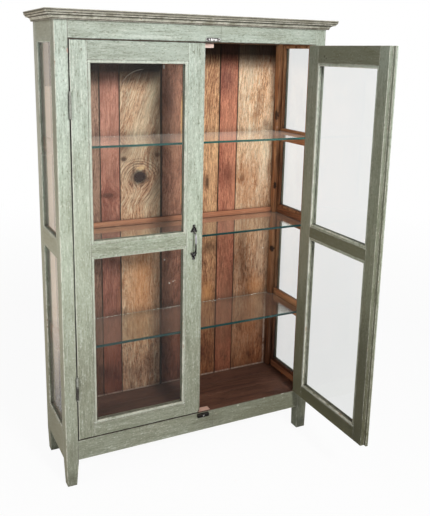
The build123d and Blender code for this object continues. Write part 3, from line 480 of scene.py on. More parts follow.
# The back: seven upright planks, each with its own timber, with knots in them
plankLook = {
    # left edge in metres, middle tone, dark tone, light tone, strength of the figure, lean of the grain,
    # share of the painted shade low down
    "planks": (
        (-0.512, "AA8470", "5E3E32", "CCA68C", 0.7, 0.0, 0.9),
        (-0.3104, "C0806C", "784232", "ECB098", 0.75, 0.0, 0.95),
        (-0.226, "E8B690", "6E4028", "FFF0CE", 1.0, 0.34, 0.46),
        (-0.041, "B47C64", "583224", "DCA688", 0.85, 0.04, 0.9),
        (0.058, "D29A70", "6E4028", "FFD4A0", 1.0, 0.0, 0.9),
        (0.235, "C4785E", "703626", "F0AC88", 0.95, 0.0, 0.88),
        (0.324, "F6C496", "8A5A3A", "FFF4D6", 1.0, 0.03, 1.03),
    ),
    "rightEdge": 0.512, "leanFrom": 1.05,
    # where planks meet, and half the width of the dark line there
    "seams": ((-0.3104, 0.0022), (-0.226, 0.0024), (-0.041, 0.0048), (0.058, 0.0024), (0.235, 0.003),
              (0.324, 0.002)),
    # across, height, half width, half height, share of the dark heart
    "knots": (
        (-0.139, 1.169, 0.038, 0.033, 1.0), (-0.209, 1.25, 0.013, 0.01, 0.75),
        (0.357, 1.134, 0.012, 0.02, 0.55), (0.18, 1.128, 0.009, 0.026, 0.7),
        (-0.28, 1.1, 0.026, 0.012, 0.5), (0.09, 1.59, 0.026, 0.03, 0.4), (-0.06, 1.262, 0.01, 0.01, 0.6),
        (0.474, 1.376, 0.016, 0.02, 0.3), (0.12, 1.68, 0.03, 0.02, 0.4),
    ),
    "knotTone": "241412", "seamTone": "24150E", "headShadowTone": "1A0C07", "lowShadeTone": "80583E",
    "dustTone": "C0AA9A", "barkTone": "4A2818", "archTone": "5E3A26", "poreTone": "3A2013",
    "paleArcTone": "D8CCBC",
    # shares of cover
    "knot": 0.97, "pores": 0.8, "rings": 0.28, "bark": 0.6, "paleArcShare": 0.45, "dust": 0.9,
    "seamDust": 0.85, "creviceShade": 0.7, "darkFleck": 0.72, "paleFleck": 0.45,
    # height, and share of the painted shade there
    "lowShadeShare": ((0.2, 0.92), (0.5, 0.76), (0.88, 0.4), (1.0, 0.18), (1.3, 0.0)),
    # scale, stretch along the grain, detail and roughness of each noise
    "slow": (9.0, 0.5, 3.0, 0.6), "patchy": (6.0, 0.5, 3.0, 0.6), "flame": (165.0, 0.1, 5.0, 0.85),
    "noises": {"fleck": (230.0, 0.3, 3.0, 0.7), "bark": (48.0, 0.35, 5.0, 0.85),
               "cloudy": (16.0, 0.3, 3.0, 0.6)},
    # noise, where it starts and where it is full, share and tone
    "figure": (("flame", 0.49, 0.39, "figure", "light"), ("flame", 0.52, 0.61, "figure", "dark"),
               ("fleck", 0.54, 0.63, "darkFleck", "dark"), ("fleck", 0.45, 0.36, "paleFleck", "light")),
    "shading": (("cloudy", 0.5, 0.66, 0.6, "dark"), ("Tone", 0.5, 0.72, 0.5, "light"),
                ("Tone", 0.46, 0.26, 0.6, "dark"), ("Streak", 0.52, 0.78, 0.7, "dark"),
                ("Streak", 0.44, 0.24, 0.5, "light")),
    # patches of deeper or paler colour on the front face:
    # across, height, half width, half height, tone and share
    "face": 0.147, "depth": 0.01,
    "patches": (
        (0.27, 1.585, 0.04, 0.07, "5A3834", 0.6), (0.11, 1.6, 0.05, 0.05, "5E4440", 0.7),
        (0.09, 1.49, 0.03, 0.02, "5A403A", 0.6), (0.0, 1.5, 0.035, 0.1, "6A4A40", 0.5),
        (-0.2, 1.32, 0.03, 0.05, "6A452F", 0.5), (-0.08, 1.26, 0.04, 0.04, "5E3E2C", 0.55),
        (0.284, 1.158, 0.04, 0.05, "5C2E22", 0.6), (0.193, 0.827, 0.035, 0.03, "2E1A12", 0.7),
        (-0.132, 1.209, 0.021, 0.009, "EFC894", 0.6), (-0.15, 1.228, 0.03, 0.004, "4A2C1C", 0.4),
        (-0.166, 1.205, 0.005, 0.022, "4A2C1C", 0.5), (0.19, 0.6, 0.03, 0.05, "E0A060", 0.35),
        (0.45, 0.6, 0.04, 0.05, "D08A4C", 0.35), (0.372, 0.76, 0.021, 0.17, "3E2214", 0.5),
        (0.482, 0.789, 0.003, 0.003, "E8DCC8", 0.8), (-0.135, 0.7, 0.07, 0.24, "EEA468", 0.46),
        (0.44, 1.64, 0.1, 0.03, "7A5038", 0.5), (0.0, 0.678, 0.0045, 0.0045, "F0E8D8", 0.95),
        (0.018, 0.684, 0.003, 0.0025, "E8E0D0", 0.9), (0.027, 0.687, 0.003, 0.002, "D8C8B0", 0.9),
        (-0.024, 0.79, 0.0035, 0.004, "E4DCCC", 0.9), (-0.114, 1.628, 0.002, 0.01, "B8AAA0", 0.7),
        (-0.118, 1.608, 0.002, 0.012, "B8AAA0", 0.6), (-0.03, 1.63, 0.004, 0.009, "E8E4DC", 0.85),
        (0.16, 0.3, 0.06, 0.05, "3E2018", 0.5), (-0.3, 0.3, 0.08, 0.04, "2E1A14", 0.5),
        (0.28, 0.5, 0.05, 0.34, "7E5E46", 0.42), (0.056, 1.42, 0.008, 0.09, "E4B47C", 0.8),
        (0.057, 1.09, 0.006, 0.07, "D8A470", 0.6), (0.38, 1.12, 0.06, 0.11, "A8663C", 0.42),
        (0.42, 0.42, 0.05, 0.07, "8A5634", 0.4),
    ),
    # middle across, middle height, radius, the part kept from and to across, and half its width
    "paleArc": (-0.116, 1.503, 0.1153, -0.216, -0.125, 0.0014),
    # painted shadow under the head: its lower edge is here on the left and rises across the gap between the
    # doors
    "headShadowAcross": (-0.05, -0.03), "headShadowRise": 0.075, "headShadowFrom": 1.563,
    # front faces are in front of this depth, backs behind it
    "backEdge": (0.157, 0.152),
}


def fromKnot(x, z, knot):
    across, height, width, length = knot[:4]
    dx = calc("DIVIDE", minus(x, across), width)
    dz = calc("DIVIDE", minus(z, height), length)
    return dx, dz, calc("MULTIPLY_ADD", dx, dx, times(dz, dz))


# Rings that arch over the largest knot, on its own plank only
def archedRings(x, z, slow, ragged):
    dx, dz, squared = fromKnot(x, z, plankLook["knots"][0])
    away = calc("SQRT", squared)
    rung = calc("FRACT", calc("MULTIPLY_ADD", away, 3.1, times(slow, 2.2)))
    line = spread(calc("ABSOLUTE", minus(rung, 0.5)), 0.2, 0.06)
    over = times(within(away, 1.2, 2.5, 0.2), spread(dz, -0.2, 0.5))
    over = times(over, within(x, -0.226, -0.041, 0.002))
    over = times(over, spread(ragged, 0.3, 0.5, 0.3, 0.75))
    return times(line, over)


# Masks of the dark hearts and of the paler rims, and how far the grain bends round the knots
def knotMasks(x, z, ragged):
    pull, heartMask, halo = None, None, None
    for knot in plankLook["knots"]:
        dx, dz, squared = fromKnot(x, z, knot)
        core = calc("EXPONENT", times(squared, times(ragged, -1.9)))
        core = times(spread(core, 0.2, 0.7), knot[4])
        wide = calc("EXPONENT", times(calc("SQRT", squared), -0.6))
        side = times(times(dx, wide), knot[2] * 1.4)
        heartMask = core if heartMask is None else calc("MAXIMUM", heartMask, core)
        halo = wide if halo is None else calc("MAXIMUM", halo, wide)
        pull = side if pull is None else calc("ADD", pull, side)
    return pull, heartMask, halo


# Painted shadow under the head, a pale arc, and dust on the floor and in a seam
def addHeadShadowAndDust(colour, x, y, z, patchy, flame, bark):
    look = plankLook
    inward = spread(y, *look["backEdge"])
    across = spread(x, *look["headShadowAcross"])
    reach = calc("MULTIPLY_ADD", across, look["headShadowRise"], look["headShadowFrom"])
    headShadow = spread(minus(z, reach), -0.012, 0.05, 0.0, 1.0)
    headShadow = times(times(headShadow, spread(patchy, 0.3, 0.6, 0.88, 0.98)), inward)
    midX, midZ, radius, fromX, toX, half = look["paleArc"]
    squared = calc("ADD", calc("POWER", minus(x, midX), 2.0), calc("POWER", minus(z, midZ), 2.0))
    off = calc("ABSOLUTE", minus(calc("SQRT", squared), radius))
    arc = times(spread(off, half * 1.8, half * 0.4), within(x, fromX, toX, 0.006))
    arc = times(arc, times(calc("GREATER_THAN", z, midZ), inward))
    # the painted shadow under the head
    colour = blend(headShadow, colour, look["headShadowTone"])
    colour = dab(colour, arc, look["paleArcShare"], look["paleArcTone"])
    dust = times(times(spread(z, 0.202, 0.198), spread(flame, 0.4, 0.55)), inward)
    colour = dab(colour, dust, look["dust"], look["dustTone"])
    seamDust = times(within(x, 0.4985, 0.507, 0.001), spread(z, 0.6, 0.5))
    seamDust = times(seamDust, times(spread(bark, 0.4, 0.5), inward))
    return dab(colour, seamDust, look["seamDust"], look["dustTone"])


def plankWood():
    look = plankLook
    made, shader, output, where = start("plankWood")
    x, y, z = split(where)[:3]
    planks = look["planks"]
    left, right = planks[0][0], look["rightEdge"]
    across = spread(x, left, right)
    starts = [(plank[0] - left) / (right - left) for plank in planks]

    def perPlank(tones):
        return ramp(across, list(zip(starts, tones)), "CONSTANT")

    middle, dark, light = [perPlank([toned(p[i]) for p in planks]) for i in (1, 2, 3)]
    figure, lean, sink = [perPlank([grey(p[i]) for p in planks]) for i in (4, 5, 6)]
    seed = times(perPlank([grey(i / 7) for i in range(7)]), 31.0)
    ragged = noise(where, 75.0, 4.0, 0.7)
    pull, heartMask, halo = knotMasks(x, z, ragged)
    upper = calc("MAXIMUM", minus(z, look["leanFrom"]), 0.0)
    sheared = minus(calc("MULTIPLY_ADD", pull, -1.0, x), times(lean, upper))
    slow = drawn(where, look["slow"], seed)
    drift = times(minus(slow, 0.5), times(figure, 0.045))
    bent = gather(calc("ADD", sheared, drift), y, z)
    grain = place(grainGroup, {"Vector": bent, "Seed": seed, "Ring Size": 0.007, "Wander": 0.02})
    wearAndShade = place(wearAndShadeGroup, {"Vector": where, "Radius": 0.002, "Depth": 0.05, "Seed": seed})
    masks = {key: drawn(bent, values, seed) for key, values in look["noises"].items()}
    masks.update(flame=drawn(bent, look["flame"], seed, 0.12), Tone=grain["Tone"], Streak=grain["Streak"])
    tones = {"dark": dark, "light": light}
    shares = {"figure": figure, "darkFleck": look["darkFleck"], "paleFleck": look["paleFleck"]}
    colour = addLayers(middle, look["figure"], masks, tones, shares)
    colour = dab(colour, grain["Rings"], look["rings"], dark)
    colour = addLayers(colour, look["shading"], masks, tones, shares)
    colour = dab(colour, grain["Pores"], look["pores"], look["poreTone"])
    colour = laid(colour, halo, 0.25, 0.8, 0.55, dark)
    barky = times(spread(masks["bark"], 0.52, 0.62), spread(z, 1.1, 0.7))
    colour = dab(colour, barky, look["bark"], look["barkTone"])
    colour = blend(archedRings(x, z, slow, ragged), colour, look["archTone"])
    colour = dab(colour, heartMask, look["knot"], look["knotTone"])
    # painted shade: the planks grow darker towards the floor, less so on their backs
    lowest, highest = look["lowShadeShare"][0][0], look["lowShadeShare"][-1][0]
    steps = [((at - lowest) / (highest - lowest), grey(share)) for at, share in look["lowShadeShare"]]
    low = ramp(spread(z, lowest, highest), steps)
    low = times(low, times(sink, spread(y, *look["backEdge"], 0.45, 1.0)))
    colour = blend(low, colour, look["lowShadeTone"], "MULTIPLY")
    face, depth = look["face"], look["depth"]
    patches = [((midX, face, midZ), (halfX, depth, halfZ), tone, share)
               for midX, midZ, halfX, halfZ, tone, share in look["patches"]]
    colour = addSpots(colour, where, patches)
    patchy = drawn(where, look["patchy"], seed)
    colour = addHeadShadowAndDust(colour, x, y, z, patchy, masks["flame"], masks["bark"])
    for edge, half in look["seams"]:
        away = calc("ABSOLUTE", minus(x, edge))
        wavy = calc("MULTIPLY_ADD", minus(slow, 0.5), half * 1.5, half)
        colour = laid(colour, minus(away, wavy), 0.0015, -0.0005, 0.9, look["seamTone"])
    # painted shade in the crevices
    colour = dab(colour, wearAndShade["Crevice Shade"], look["creviceShade"], look["seamTone"])
    relief = calc("MULTIPLY_ADD", grain["Streak"], 0.6, times(grain["Pores"], -0.6))
    gloss = spread(grain["Streak"], 0.2, 0.8, 0.6, 0.42)
    return finishWood(made, shader, colour, gloss, 0.35, 0.0008, relief)


# Glass lets shadow rays through, so that light reaches the shelves behind it
glassLook = {
    "clear": "FCFDFC", "smear": "D8DEDB", "smearShare": 0.1,
    "windowGlass": {"tint": "F0F1F0", "ior": 1.3}, "sideGlass": {"tint": "F0F1F0", "ior": 1.5},
    "glowingSideGlass": {"tint": "F0F1F0", "ior": 1.5, "reflectionGlow": "302D29"},
    "shelfGlass": {"tint": "D2DAD2", "ior": 1.4, "upperTint": "F2F6F3"},
}
shelfEdge = {
    # the edges glow as painted light, and the back edge carries a painted highlight
    "tint": "17504D", "glow": "0A2C2F", "backEdgeHighlight": "8CA09A", "backShare": 0.72,
    # polished front arris in front of this depth, back edge behind the other one
    "front": -0.1262, "back": 0.14,
    # painted reflection glowing on the shelves, low down and high up, and the heights between
    "paintedReflection": ("382A24", "524B46"), "paintedReflectionHeights": (0.7, 1.3),
    # the middle shelf has less of it
    "midway": (0.8, 1.1, 0.01), "midwayShare": 0.5,
    # a painted reflection of darker timber at the right end of the lower shelf
    "spots": (((0.482, -0.08, 0.561), (0.06, 0.15, 0.02), "484840", 0.9),),
}


# Colour and painted light of a shelf: green polished edges that glow, a painted highlight on the back edge,
# and a painted reflection glowing on its faces
def shelfColours(where, film, colour):
    look = shelfEdge
    y, z = split(where)[1:3]
    normal = put("ShaderNodeTexCoord").outputs["Normal"]
    upright = calc("ABSOLUTE", split(normal)[2])
    polished = calc("LESS_THAN", y, look["front"])
    onEdge = calc("MAXIMUM", calc("LESS_THAN", upright, 0.5), polished)
    atBack = calc("GREATER_THAN", y, look["back"])
    colour = blend(onEdge, colour, look["tint"])
    paintedReflection = blend(spread(z, *look["paintedReflectionHeights"]), *look["paintedReflection"])
    paintedReflection = laid(paintedReflection, film, 0.35, 0.65, 0.5, black)
    paintedReflection = dab(paintedReflection, within(z, *look["midway"]), look["midwayShare"], black)
    colour = addSpots(colour, where, look["spots"])
    glow = blend(atBack, look["glow"], look["backEdgeHighlight"])
    return colour, blend(onEdge, paintedReflection, glow), times(onEdge, atBack)


def glass(name, isShelf=False):
    made, shader, output, where = start(name)
    look = glassLook[name]
    shader.inputs["Transmission Weight"].default_value = 1.0
    shader.inputs["IOR"].default_value = look["ior"]
    shader.inputs["Roughness"].default_value = 0.0
    film = noise(where, 3.5, 5.0, 0.6)
    colour = laid(look["tint"], film, 0.45, 0.75, glassLook["smearShare"], glassLook["smear"])
    # the left side panes glow a warm grey, a painted reflection
    if "reflectionGlow" in look:
        shader.inputs["Emission Color"].default_value = toned(look["reflectionGlow"])
        shader.inputs["Emission Strength"].default_value = 1.0
    path = put("ShaderNodeLightPath").outputs
    passing = calc("MAXIMUM", path["Is Shadow Ray"], path["Is Diffuse Ray"])
    if isShelf:
        colour = blend(spread(split(where)[2], 0.7, 1.3), colour, look["upperTint"])
        colour, lit, backEdge = shelfColours(where, film, colour)
        feed(lit, shader.inputs["Emission Color"])
        shader.inputs["Emission Strength"].default_value = 1.0
        passing = calc("MAXIMUM", passing, times(backEdge, shelfEdge["backShare"]))
    feed(colour, shader.inputs["Base Color"])
    clear = put("ShaderNodeBsdfTransparent", {0: toned(glassLook["clear"])}).outputs[0]
    both = put("ShaderNodeMixShader", {0: passing, 1: shader.outputs[0], 2: clear}).outputs[0]
    feed(both, output.inputs["Surface"])
    return made


# Metal finishes. Worn and glint is the tone of the bright patches, worn metal and painted glints, with their
# scale and share
ironLooks = {
    "blackIron": {"base": "262424", "rust": "3A2E28", "metallic": 0.85, "roughness": 0.36,
                  "wornAndGlint": "A8A2A0", "patchScale": 130.0, "wornAndGlintShare": 0.75},
    "dullIron": {"base": "3A3836", "rust": "4A3A30", "metallic": 0.8, "roughness": 0.45},
    "greySteel": {"base": "5A5656", "rust": "2A2426", "metallic": 0.6, "roughness": 0.42,
                  "wornAndGlint": "F4F2F0", "patchScale": 120.0, "wornAndGlintShare": 0.95},
    "paintedHinge": {"base": "A2A49A", "rust": "4D483C", "metallic": 0.1, "roughness": 0.55},
    "screwIron": {"base": "4E4A46", "rust": "4A3428", "metallic": 0.8, "roughness": 0.42,
                  "wornAndGlint": "9A948C", "patchScale": 300.0, "wornAndGlintShare": 0.6},
    "slotDark": {"base": "141212", "rust": "241A16", "metallic": 0.5, "roughness": 0.6},
    "nailIron": {"base": "2E2A28", "rust": "5A3A28", "metallic": 0.6, "roughness": 0.6,
                 "wornAndGlint": "6A625A", "patchScale": 300.0, "wornAndGlintShare": 0.5},
}


def forgedIron(name, lines=(), spots=()):
    made, shader, output, where = start(name)
    look = ironLooks[name]
    wearAndShade = place(wearAndShadeGroup, {"Vector": where, "Radius": 0.001, "Depth": 0.004, "Seed": 3.0})
    dents = noise(where, 380.0, 3.0, 0.6)
    rusty = noise(where, 90.0, 4.0, 0.7)
    colour = laid(look["base"], rusty, 0.5, 0.7, 0.6, look["rust"])
    # bright patches and arrises: wear, and painted glints
    if "wornAndGlint" in look:
        patches = noise(where, look["patchScale"], 2.0, 0.5, 4.0)
        patches = spread(patches, 0.52, 0.58, 0.0, look["wornAndGlintShare"])
        bright = calc("MAXIMUM", patches, times(wearAndShade["Arris"], 0.6))
        colour = blend(bright, colour, look["wornAndGlint"])
    # dark oxide and painted shade in the hollows
    colour = dab(colour, wearAndShade["Crevice Shade"], 0.6, "0C0A08")
    colour = addSpots(addLines(colour, where, lines), where, spots)
    feed(colour, shader.inputs["Base Color"])
    shader.inputs["Metallic"].default_value = look["metallic"]
    rough = look["roughness"]
    feed(spread(dents, 0.3, 0.7, rough - 0.08, rough + 0.12), shader.inputs["Roughness"])
    bump(shader, 0.5, 0.0003, dents)
    return made


def dress(names, material):
    for name in names:
        mesh = nodes[name].data
        for index in range(max(1, len(mesh.materials))):
            if index < len(mesh.materials):
                mesh.materials[index] = material
            else:
                mesh.materials.append(material)


# Dark joints, pale arrises and stains, with painted light and shade where marked. A line is an axis, a place,
# half a width, a tone and a share; a spot is a middle, half sizes, a tone and a share.
grimeAndShade, paleArris, gap = paintLook["grimeAndShade"], paintLook["chip"], "1E1A14"
doorMarks = {
    "edges": (
        ("x", -0.51, 0.0024, gap, 1.0), ("z", 1.7262, 0.0016, gap, 0.9),
        ("z", 0.1968, 0.0016, gap, 0.95), ("x", -0.5056, 0.0014, paleArris, 0.5),
    ),
    "joints": (
        ("x", -0.4452, 0.0012, grimeAndShade, 0.75), ("x", -0.0558, 0.0012, grimeAndShade, 0.6),
    ),
    "beads": (
        ("x", -0.4445, 0.0009, grimeAndShade, 0.75), ("x", -0.0565, 0.0009, grimeAndShade, 0.6),
        # the pale lines along the bead arrises are worn paint and painted highlight
        ("x", -0.4385, 0.002, "DDE2D6", 0.4), ("x", -0.061, 0.0016, "DDE2D6", 0.35),
        ("z", 1.6585, 0.0009, grimeAndShade, 0.7), ("z", 0.9855, 0.0008, grimeAndShade, 0.5),
        ("z", 0.9385, 0.0008, grimeAndShade, 0.5), ("z", 1.6525, 0.002, "DDE2D6", 0.4),
        ("z", 0.2512, 0.0009, grimeAndShade, 0.6), ("z", 0.2565, 0.002, "DDE2D6", 0.4),
    ),
    "openBeads": (
        ("y", -0.2345, 0.001, grimeAndShade, 0.85), ("y", -0.6085, 0.001, grimeAndShade, 0.8),
        # the pale lines along the bead arrises are worn paint and painted highlight
        ("y", -0.2405, 0.003, "D8DCD0", 0.75), ("z", 0.2512, 0.001, grimeAndShade, 0.7),
        ("z", 0.2565, 0.002, "D8DCD0", 0.5), ("z", 1.6585, 0.001, grimeAndShade, 0.6),
    ),
    "open": (
        ((0.478, -0.276, 1.685), (0.01, 0.004, 0.004), "3A382C", 0.7),
        ((0.478, -0.289, 1.678), (0.01, 0.004, 0.003), "3A382C", 0.7),
        ((0.478, -0.278, 1.67), (0.01, 0.003, 0.003), "3A382C", 0.6),
        ((0.478, -0.182, 0.967), (0.01, 0.003, 0.003), "26241C", 0.8),
        ((0.478, -0.2, 0.95), (0.01, 0.04, 0.3), "A3A28C", 0.28),
        # the broad dark patches low on the inner face are painted shade
        ((0.478, -0.63, 0.42), (0.01, 0.05, 0.3), "3C3A2C", 0.45),
        ((0.478, -0.42, 0.25), (0.01, 0.2, 0.04), "4A483A", 0.35),
        ((0.478, -0.566, 0.262), (0.012, 0.032, 0.012), "7A4A38", 0.75),
        ((0.478, -0.562, 0.27), (0.012, 0.03, 0.004), "C8C2B2", 0.5),
    ),
    # peg ends stand at these places across and up
    "pegsAcross": (-0.465, -0.036), "pegHeights": (0.2233, 0.962, 1.693),
    "pale": ((-0.478, -0.163, 0.95), (0.04, 0.02, 0.3), "DAE4D0", 0.2),
}
caseMarks = {
    "head": (
        ("z", 1.7302, 0.0014, grimeAndShade, 0.9), ("x", -0.5115, 0.0012, grimeAndShade, 0.3),
        # the broad band at the top of the head rail is painted shadow under the cornice
        ("x", 0.5115, 0.0012, grimeAndShade, 0.3), ("z", 1.8, 0.009, "6E6A58", 0.45),
    ),
    "sill": (
        ("z", 0.1932, 0.0012, grimeAndShade, 0.8), ("x", 0.0775, 0.001, grimeAndShade, 0.6),
    ),
    "posts": (
        ("x", -0.5125, 0.0012, grimeAndShade, 0.8),
    ),
    "cornice": (
        # the dark lines in the moulding's grooves are grime and painted shade; the pale lines are painted
        # highlights on its beads and top edge
        ("z", 1.8215, 0.0012, grimeAndShade, 0.85), ("z", 1.8128, 0.0014, grimeAndShade, 0.9),
        ("z", 1.8055, 0.0014, grimeAndShade, 0.85), ("z", 1.794, 0.0016, grimeAndShade, 0.8),
        ("z", 1.7985, 0.0015, "A9A996", 0.4), ("z", 1.825, 0.0012, paleArris, 0.3),
    ),
    "front": (
        ((-0.5145, -0.163, 1.688), (0.003, 0.01, 0.009), "B08C80", 0.8),
        ((0.428, -0.163, 0.191), (0.007, 0.01, 0.003), "D6D6C8", 0.5),
        ((0.332, -0.163, 0.191), (0.005, 0.01, 0.003), "D6D6C8", 0.45),
        ((0.2, -0.163, 0.186), (0.006, 0.01, 0.004), "D2D2C2", 0.4),
        ((-0.535, -0.163, 0.16), (0.02, 0.03, 0.05), "5E5A46", 0.4),
        ((-0.54, -0.163, 0.03), (0.02, 0.03, 0.03), "4E4A3A", 0.5),
        ((0.06, -0.163, 0.15), (0.05, 0.02, 0.03), "5E5C4A", 0.4),
        ((0.54, -0.15, 0.03), (0.03, 0.03, 0.02), "45443A", 0.5),
        ((-0.536, -0.163, 0.85), (0.04, 0.02, 0.4), "D6E0CC", 0.15),
        ((-0.54, -0.163, 0.34), (0.04, 0.02, 0.16), "BEC4B2", 0.22),
        ((-0.56, -0.135, 1.45), (0.006, 0.026, 0.35), "6E6C5C", 0.4),
        ((-0.56, 0.14, 1.45), (0.006, 0.03, 0.35), "D8D4C6", 0.4),
        ((0.535, -0.163, 1.76), (0.035, 0.02, 0.06), "7A7E6C", 0.3),
        # painted shadow under the cornice along the head rail
        ((0.1, -0.163, 1.775), (0.12, 0.02, 0.018), "8A8E7C", 0.35),
        ((-0.2, -0.163, 1.742), (0.1, 0.02, 0.006), "D2D8CE", 0.4),
    ),
}
metalMarks = {
    "handles": (
        # painted highlights on the grip and plates, and painted shade under the grip
        ((-0.025, -0.186, 0.968), (0.006, 0.01, 0.02), "E4E0EA", 0.8),
        ((-0.025, -0.183, 0.925), (0.008, 0.01, 0.024), "0C0B0C", 0.85),
        ((-0.029, -0.166, 0.992), (0.006, 0.006, 0.004), "D8D4CE", 0.7),
        ((-0.023, -0.166, 0.903), (0.004, 0.006, 0.004), "C8C4C0", 0.6),
    ),
    "hinges": (
        # the dark lines down the barrels' sides are painted shade; the line across is the joint between
        # knuckles
        ("x", -0.5158, 0.0012, "2E2A26", 0.9), ("x", -0.5066, 0.0014, "2E2A26", 0.85),
        ("x", -0.5122, 0.0006, "4A4640", 0.6), ("z", 1.4515, 0.0014, "2E2A26", 0.8),
        ("x", 0.5158, 0.0012, "2E2A26", 0.6), ("x", 0.5066, 0.0014, "2E2A26", 0.6),
    ),
    "hingeStain": (
        ((-0.511, -0.17, 0.398), (0.008, 0.02, 0.026), "2E2622", 0.9),
    ),
}
pegSpots = [((x, -0.163, z), (0.004, 0.01, 0.004), "6E7462", 0.6)
            for x in doorMarks["pegsAcross"] for z in doorMarks["pegHeights"]]
doorSpots = pegSpots + [doorMarks["pale"]]
front, openMarks = caseMarks["front"], doorMarks["open"]
paintUpright = paintedWood("paintUpright", "z", 1.0, insideRegion, lines=caseMarks["posts"], spots=front)
paintAcross = paintedWood("paintAcross", "x", 2.0, railTopRegion, innerWood="floor", olive=(0.0, 0.2),
                          lines=caseMarks["sill"] + caseMarks["head"], spots=front)
paintDeep = paintedWood("paintDeep", "y", 3.0, insideRegion, umber=0.12, innerWood="railInside")
doorUpright = paintedWood("doorPaintUpright", "z", 4.0, lines=doorMarks["edges"], spots=doorSpots)
doorAcross = paintedWood("doorPaintAcross", "x", 5.0, olive=(0.06, 0.28),
                         lines=doorMarks["edges"] + doorMarks["joints"])
beadPaint = paintedWood("beadPaint", "z", 5.5, olive=(0.15, 0.1), arrisRadius=0.006,
                        lines=doorMarks["beads"])
openBeadPaint = paintedWood("openBeadPaint", "z", 6.5, olive=(0.4, 0.3), arrisRadius=0.006,
                            lines=doorMarks["openBeads"], dullInside=True)
openDoorUpright = paintedWood("openDoorPaintUpright", "z", 6.0, olive=(0.76, 0.6), spots=openMarks,
                              dullInside=True)
openDoorAcross = paintedWood("openDoorPaintAcross", "y", 7.0, olive=(0.9, 0.8), spots=openMarks,
                             dullInside=True)
cornicePaint = paintedWood("cornicePaint", "x", 8.0, umber=0.72, lines=caseMarks["cornice"])
corniceReturnPaint = paintedWood("corniceReturnPaint", "y", 9.0, umber=0.72, lines=caseMarks["cornice"])
dress(["front_left_post", "front_right_post", "back_left_post", "back_right_post"], paintUpright)
dress(["front_head_rail", "front_bottom_rail"], paintAcross)
railNames = ("top_rail", "middle_rail", "bottom_rail")
uprightNames = ("hinge_stile", "meeting_stile", "pegs")
for side in ("left", "right"):
    dress([f"{side}_{name}" for name in railNames], paintDeep)
    dress([f"{side}_side_beads"], paintUpright)
    dress([f"{side}_cornice"], corniceReturnPaint)
dress(["front_cornice", "top_board"], cornicePaint)
for side, upright, across, bead in (("left", doorUpright, doorAcross, beadPaint),
                                    ("right", openDoorUpright, openDoorAcross, openBeadPaint)):
    dress([f"{side}_door_{name}" for name in uprightNames], upright)
    dress([f"{side}_door_{name}" for name in railNames], across)
    dress([f"{side}_door_beads"], bead)
dress(["back_planks"], plankWood())
dress(["floor_boards"], bareWood("floorWood", "x", "floor", 11.0, 0.55, shade=shutSide))
dress(["back_battens"], bareWood("battenWood", "x", "batten", 12.0))
dress(["head_stop"], bareWood("headStopWood", "x", "litHeadStop", 13.0))
dress(["sill_plate"], bareWood("sillWood", "x", "stop", 13.5))
dress(["floor_cleats", "back_head_rail", "back_bottom_rail"], bareWood("hiddenWood", "x", "under", 14.0))
dress(["left_shelf_cleats", "right_shelf_cleats"], bareWood("cleatWood", "y", "frameInside", 15.0))
dress(["left_door_panes", "right_door_panes"], glass("windowGlass"))
dress(["left_side_panes"], glass("glowingSideGlass"))
dress(["right_side_panes"], glass("sideGlass"))
dress(["upper_shelf", "middle_shelf", "lower_shelf"], glass("shelfGlass", isShelf=True))
dress(["left_door_handle", "right_door_handle"], forgedIron("blackIron", spots=metalMarks["handles"]))
dress(["sill_button"], forgedIron("dullIron"))
dress(["head_button", "button_screws"], forgedIron("greySteel"))
dress(["frame_hinge_leaves", "hinge_pins", "left_door_hinge_leaves", "right_door_hinge_leaves"],
      forgedIron("paintedHinge", metalMarks["hinges"], metalMarks["hingeStain"]))
print("finishes ready")


# Softened arrises on the wooden pieces, all but the beads
softening = {
    "width": 0.0012, "segments": 2, "weld": 0.00002, "sharpest": 50,
    "keptCrisp": ("pane", "handle", "hinge_leaves", "pins", "button", "shelf", "beads"),
}
softened = [name for name in nodes if not any(word in name for word in softening["keptCrisp"])]
for name in softened + ["left_shelf_cleats", "right_shelf_cleats"]:
    piece = nodes[name]
    weld = piece.modifiers.new("weld", "WELD")
    weld.merge_threshold = softening["weld"]
    bevel = piece.modifiers.new("softArris", "BEVEL")
    bevel.width = softening["width"]
    bevel.segments = softening["segments"]
    bevel.limit_method = "ANGLE"
    bevel.angle_limit = math.radians(softening["sharpest"])
    bevel.use_clamp_overlap = True
print("arrises softened:", len(softened))


# Slotted screws on the hinge leaves and handles, and nails in the back
screwLook = {
    # half width of the slot, share of the head's height that the rim has, and shares of the two halves
    "slot": 0.16, "rim": 0.55, "sides": 18, "halves": 0.96, "shoulder": 0.85, "crown": 0.9,
    "sunk": -0.0002,
    "hinge": {"radius": 0.0034, "height": 0.00008}, "handle": {"radius": 0.0023, "height": 0.0007},
    "nail": {"radius": 0.0032, "height": 0.0011, "sides": 9, "uneven": 0.09, "sizes": (0.85, 1.15),
             "steps": ((1.0, 0.35), (0.72, 0.85), (0.3, 1.0))},
}


def addRing(grid, corner, points):
    return [grid.verts.new(corner @ Vector(point)) for point in points]


def join(grid, lower, upper, material=0):
    count = len(lower)
    for i in range(count):
        face = grid.faces.new((lower[i], lower[(i + 1) % count], upper[(i + 1) % count], upper[i]))
        face.material_index = material


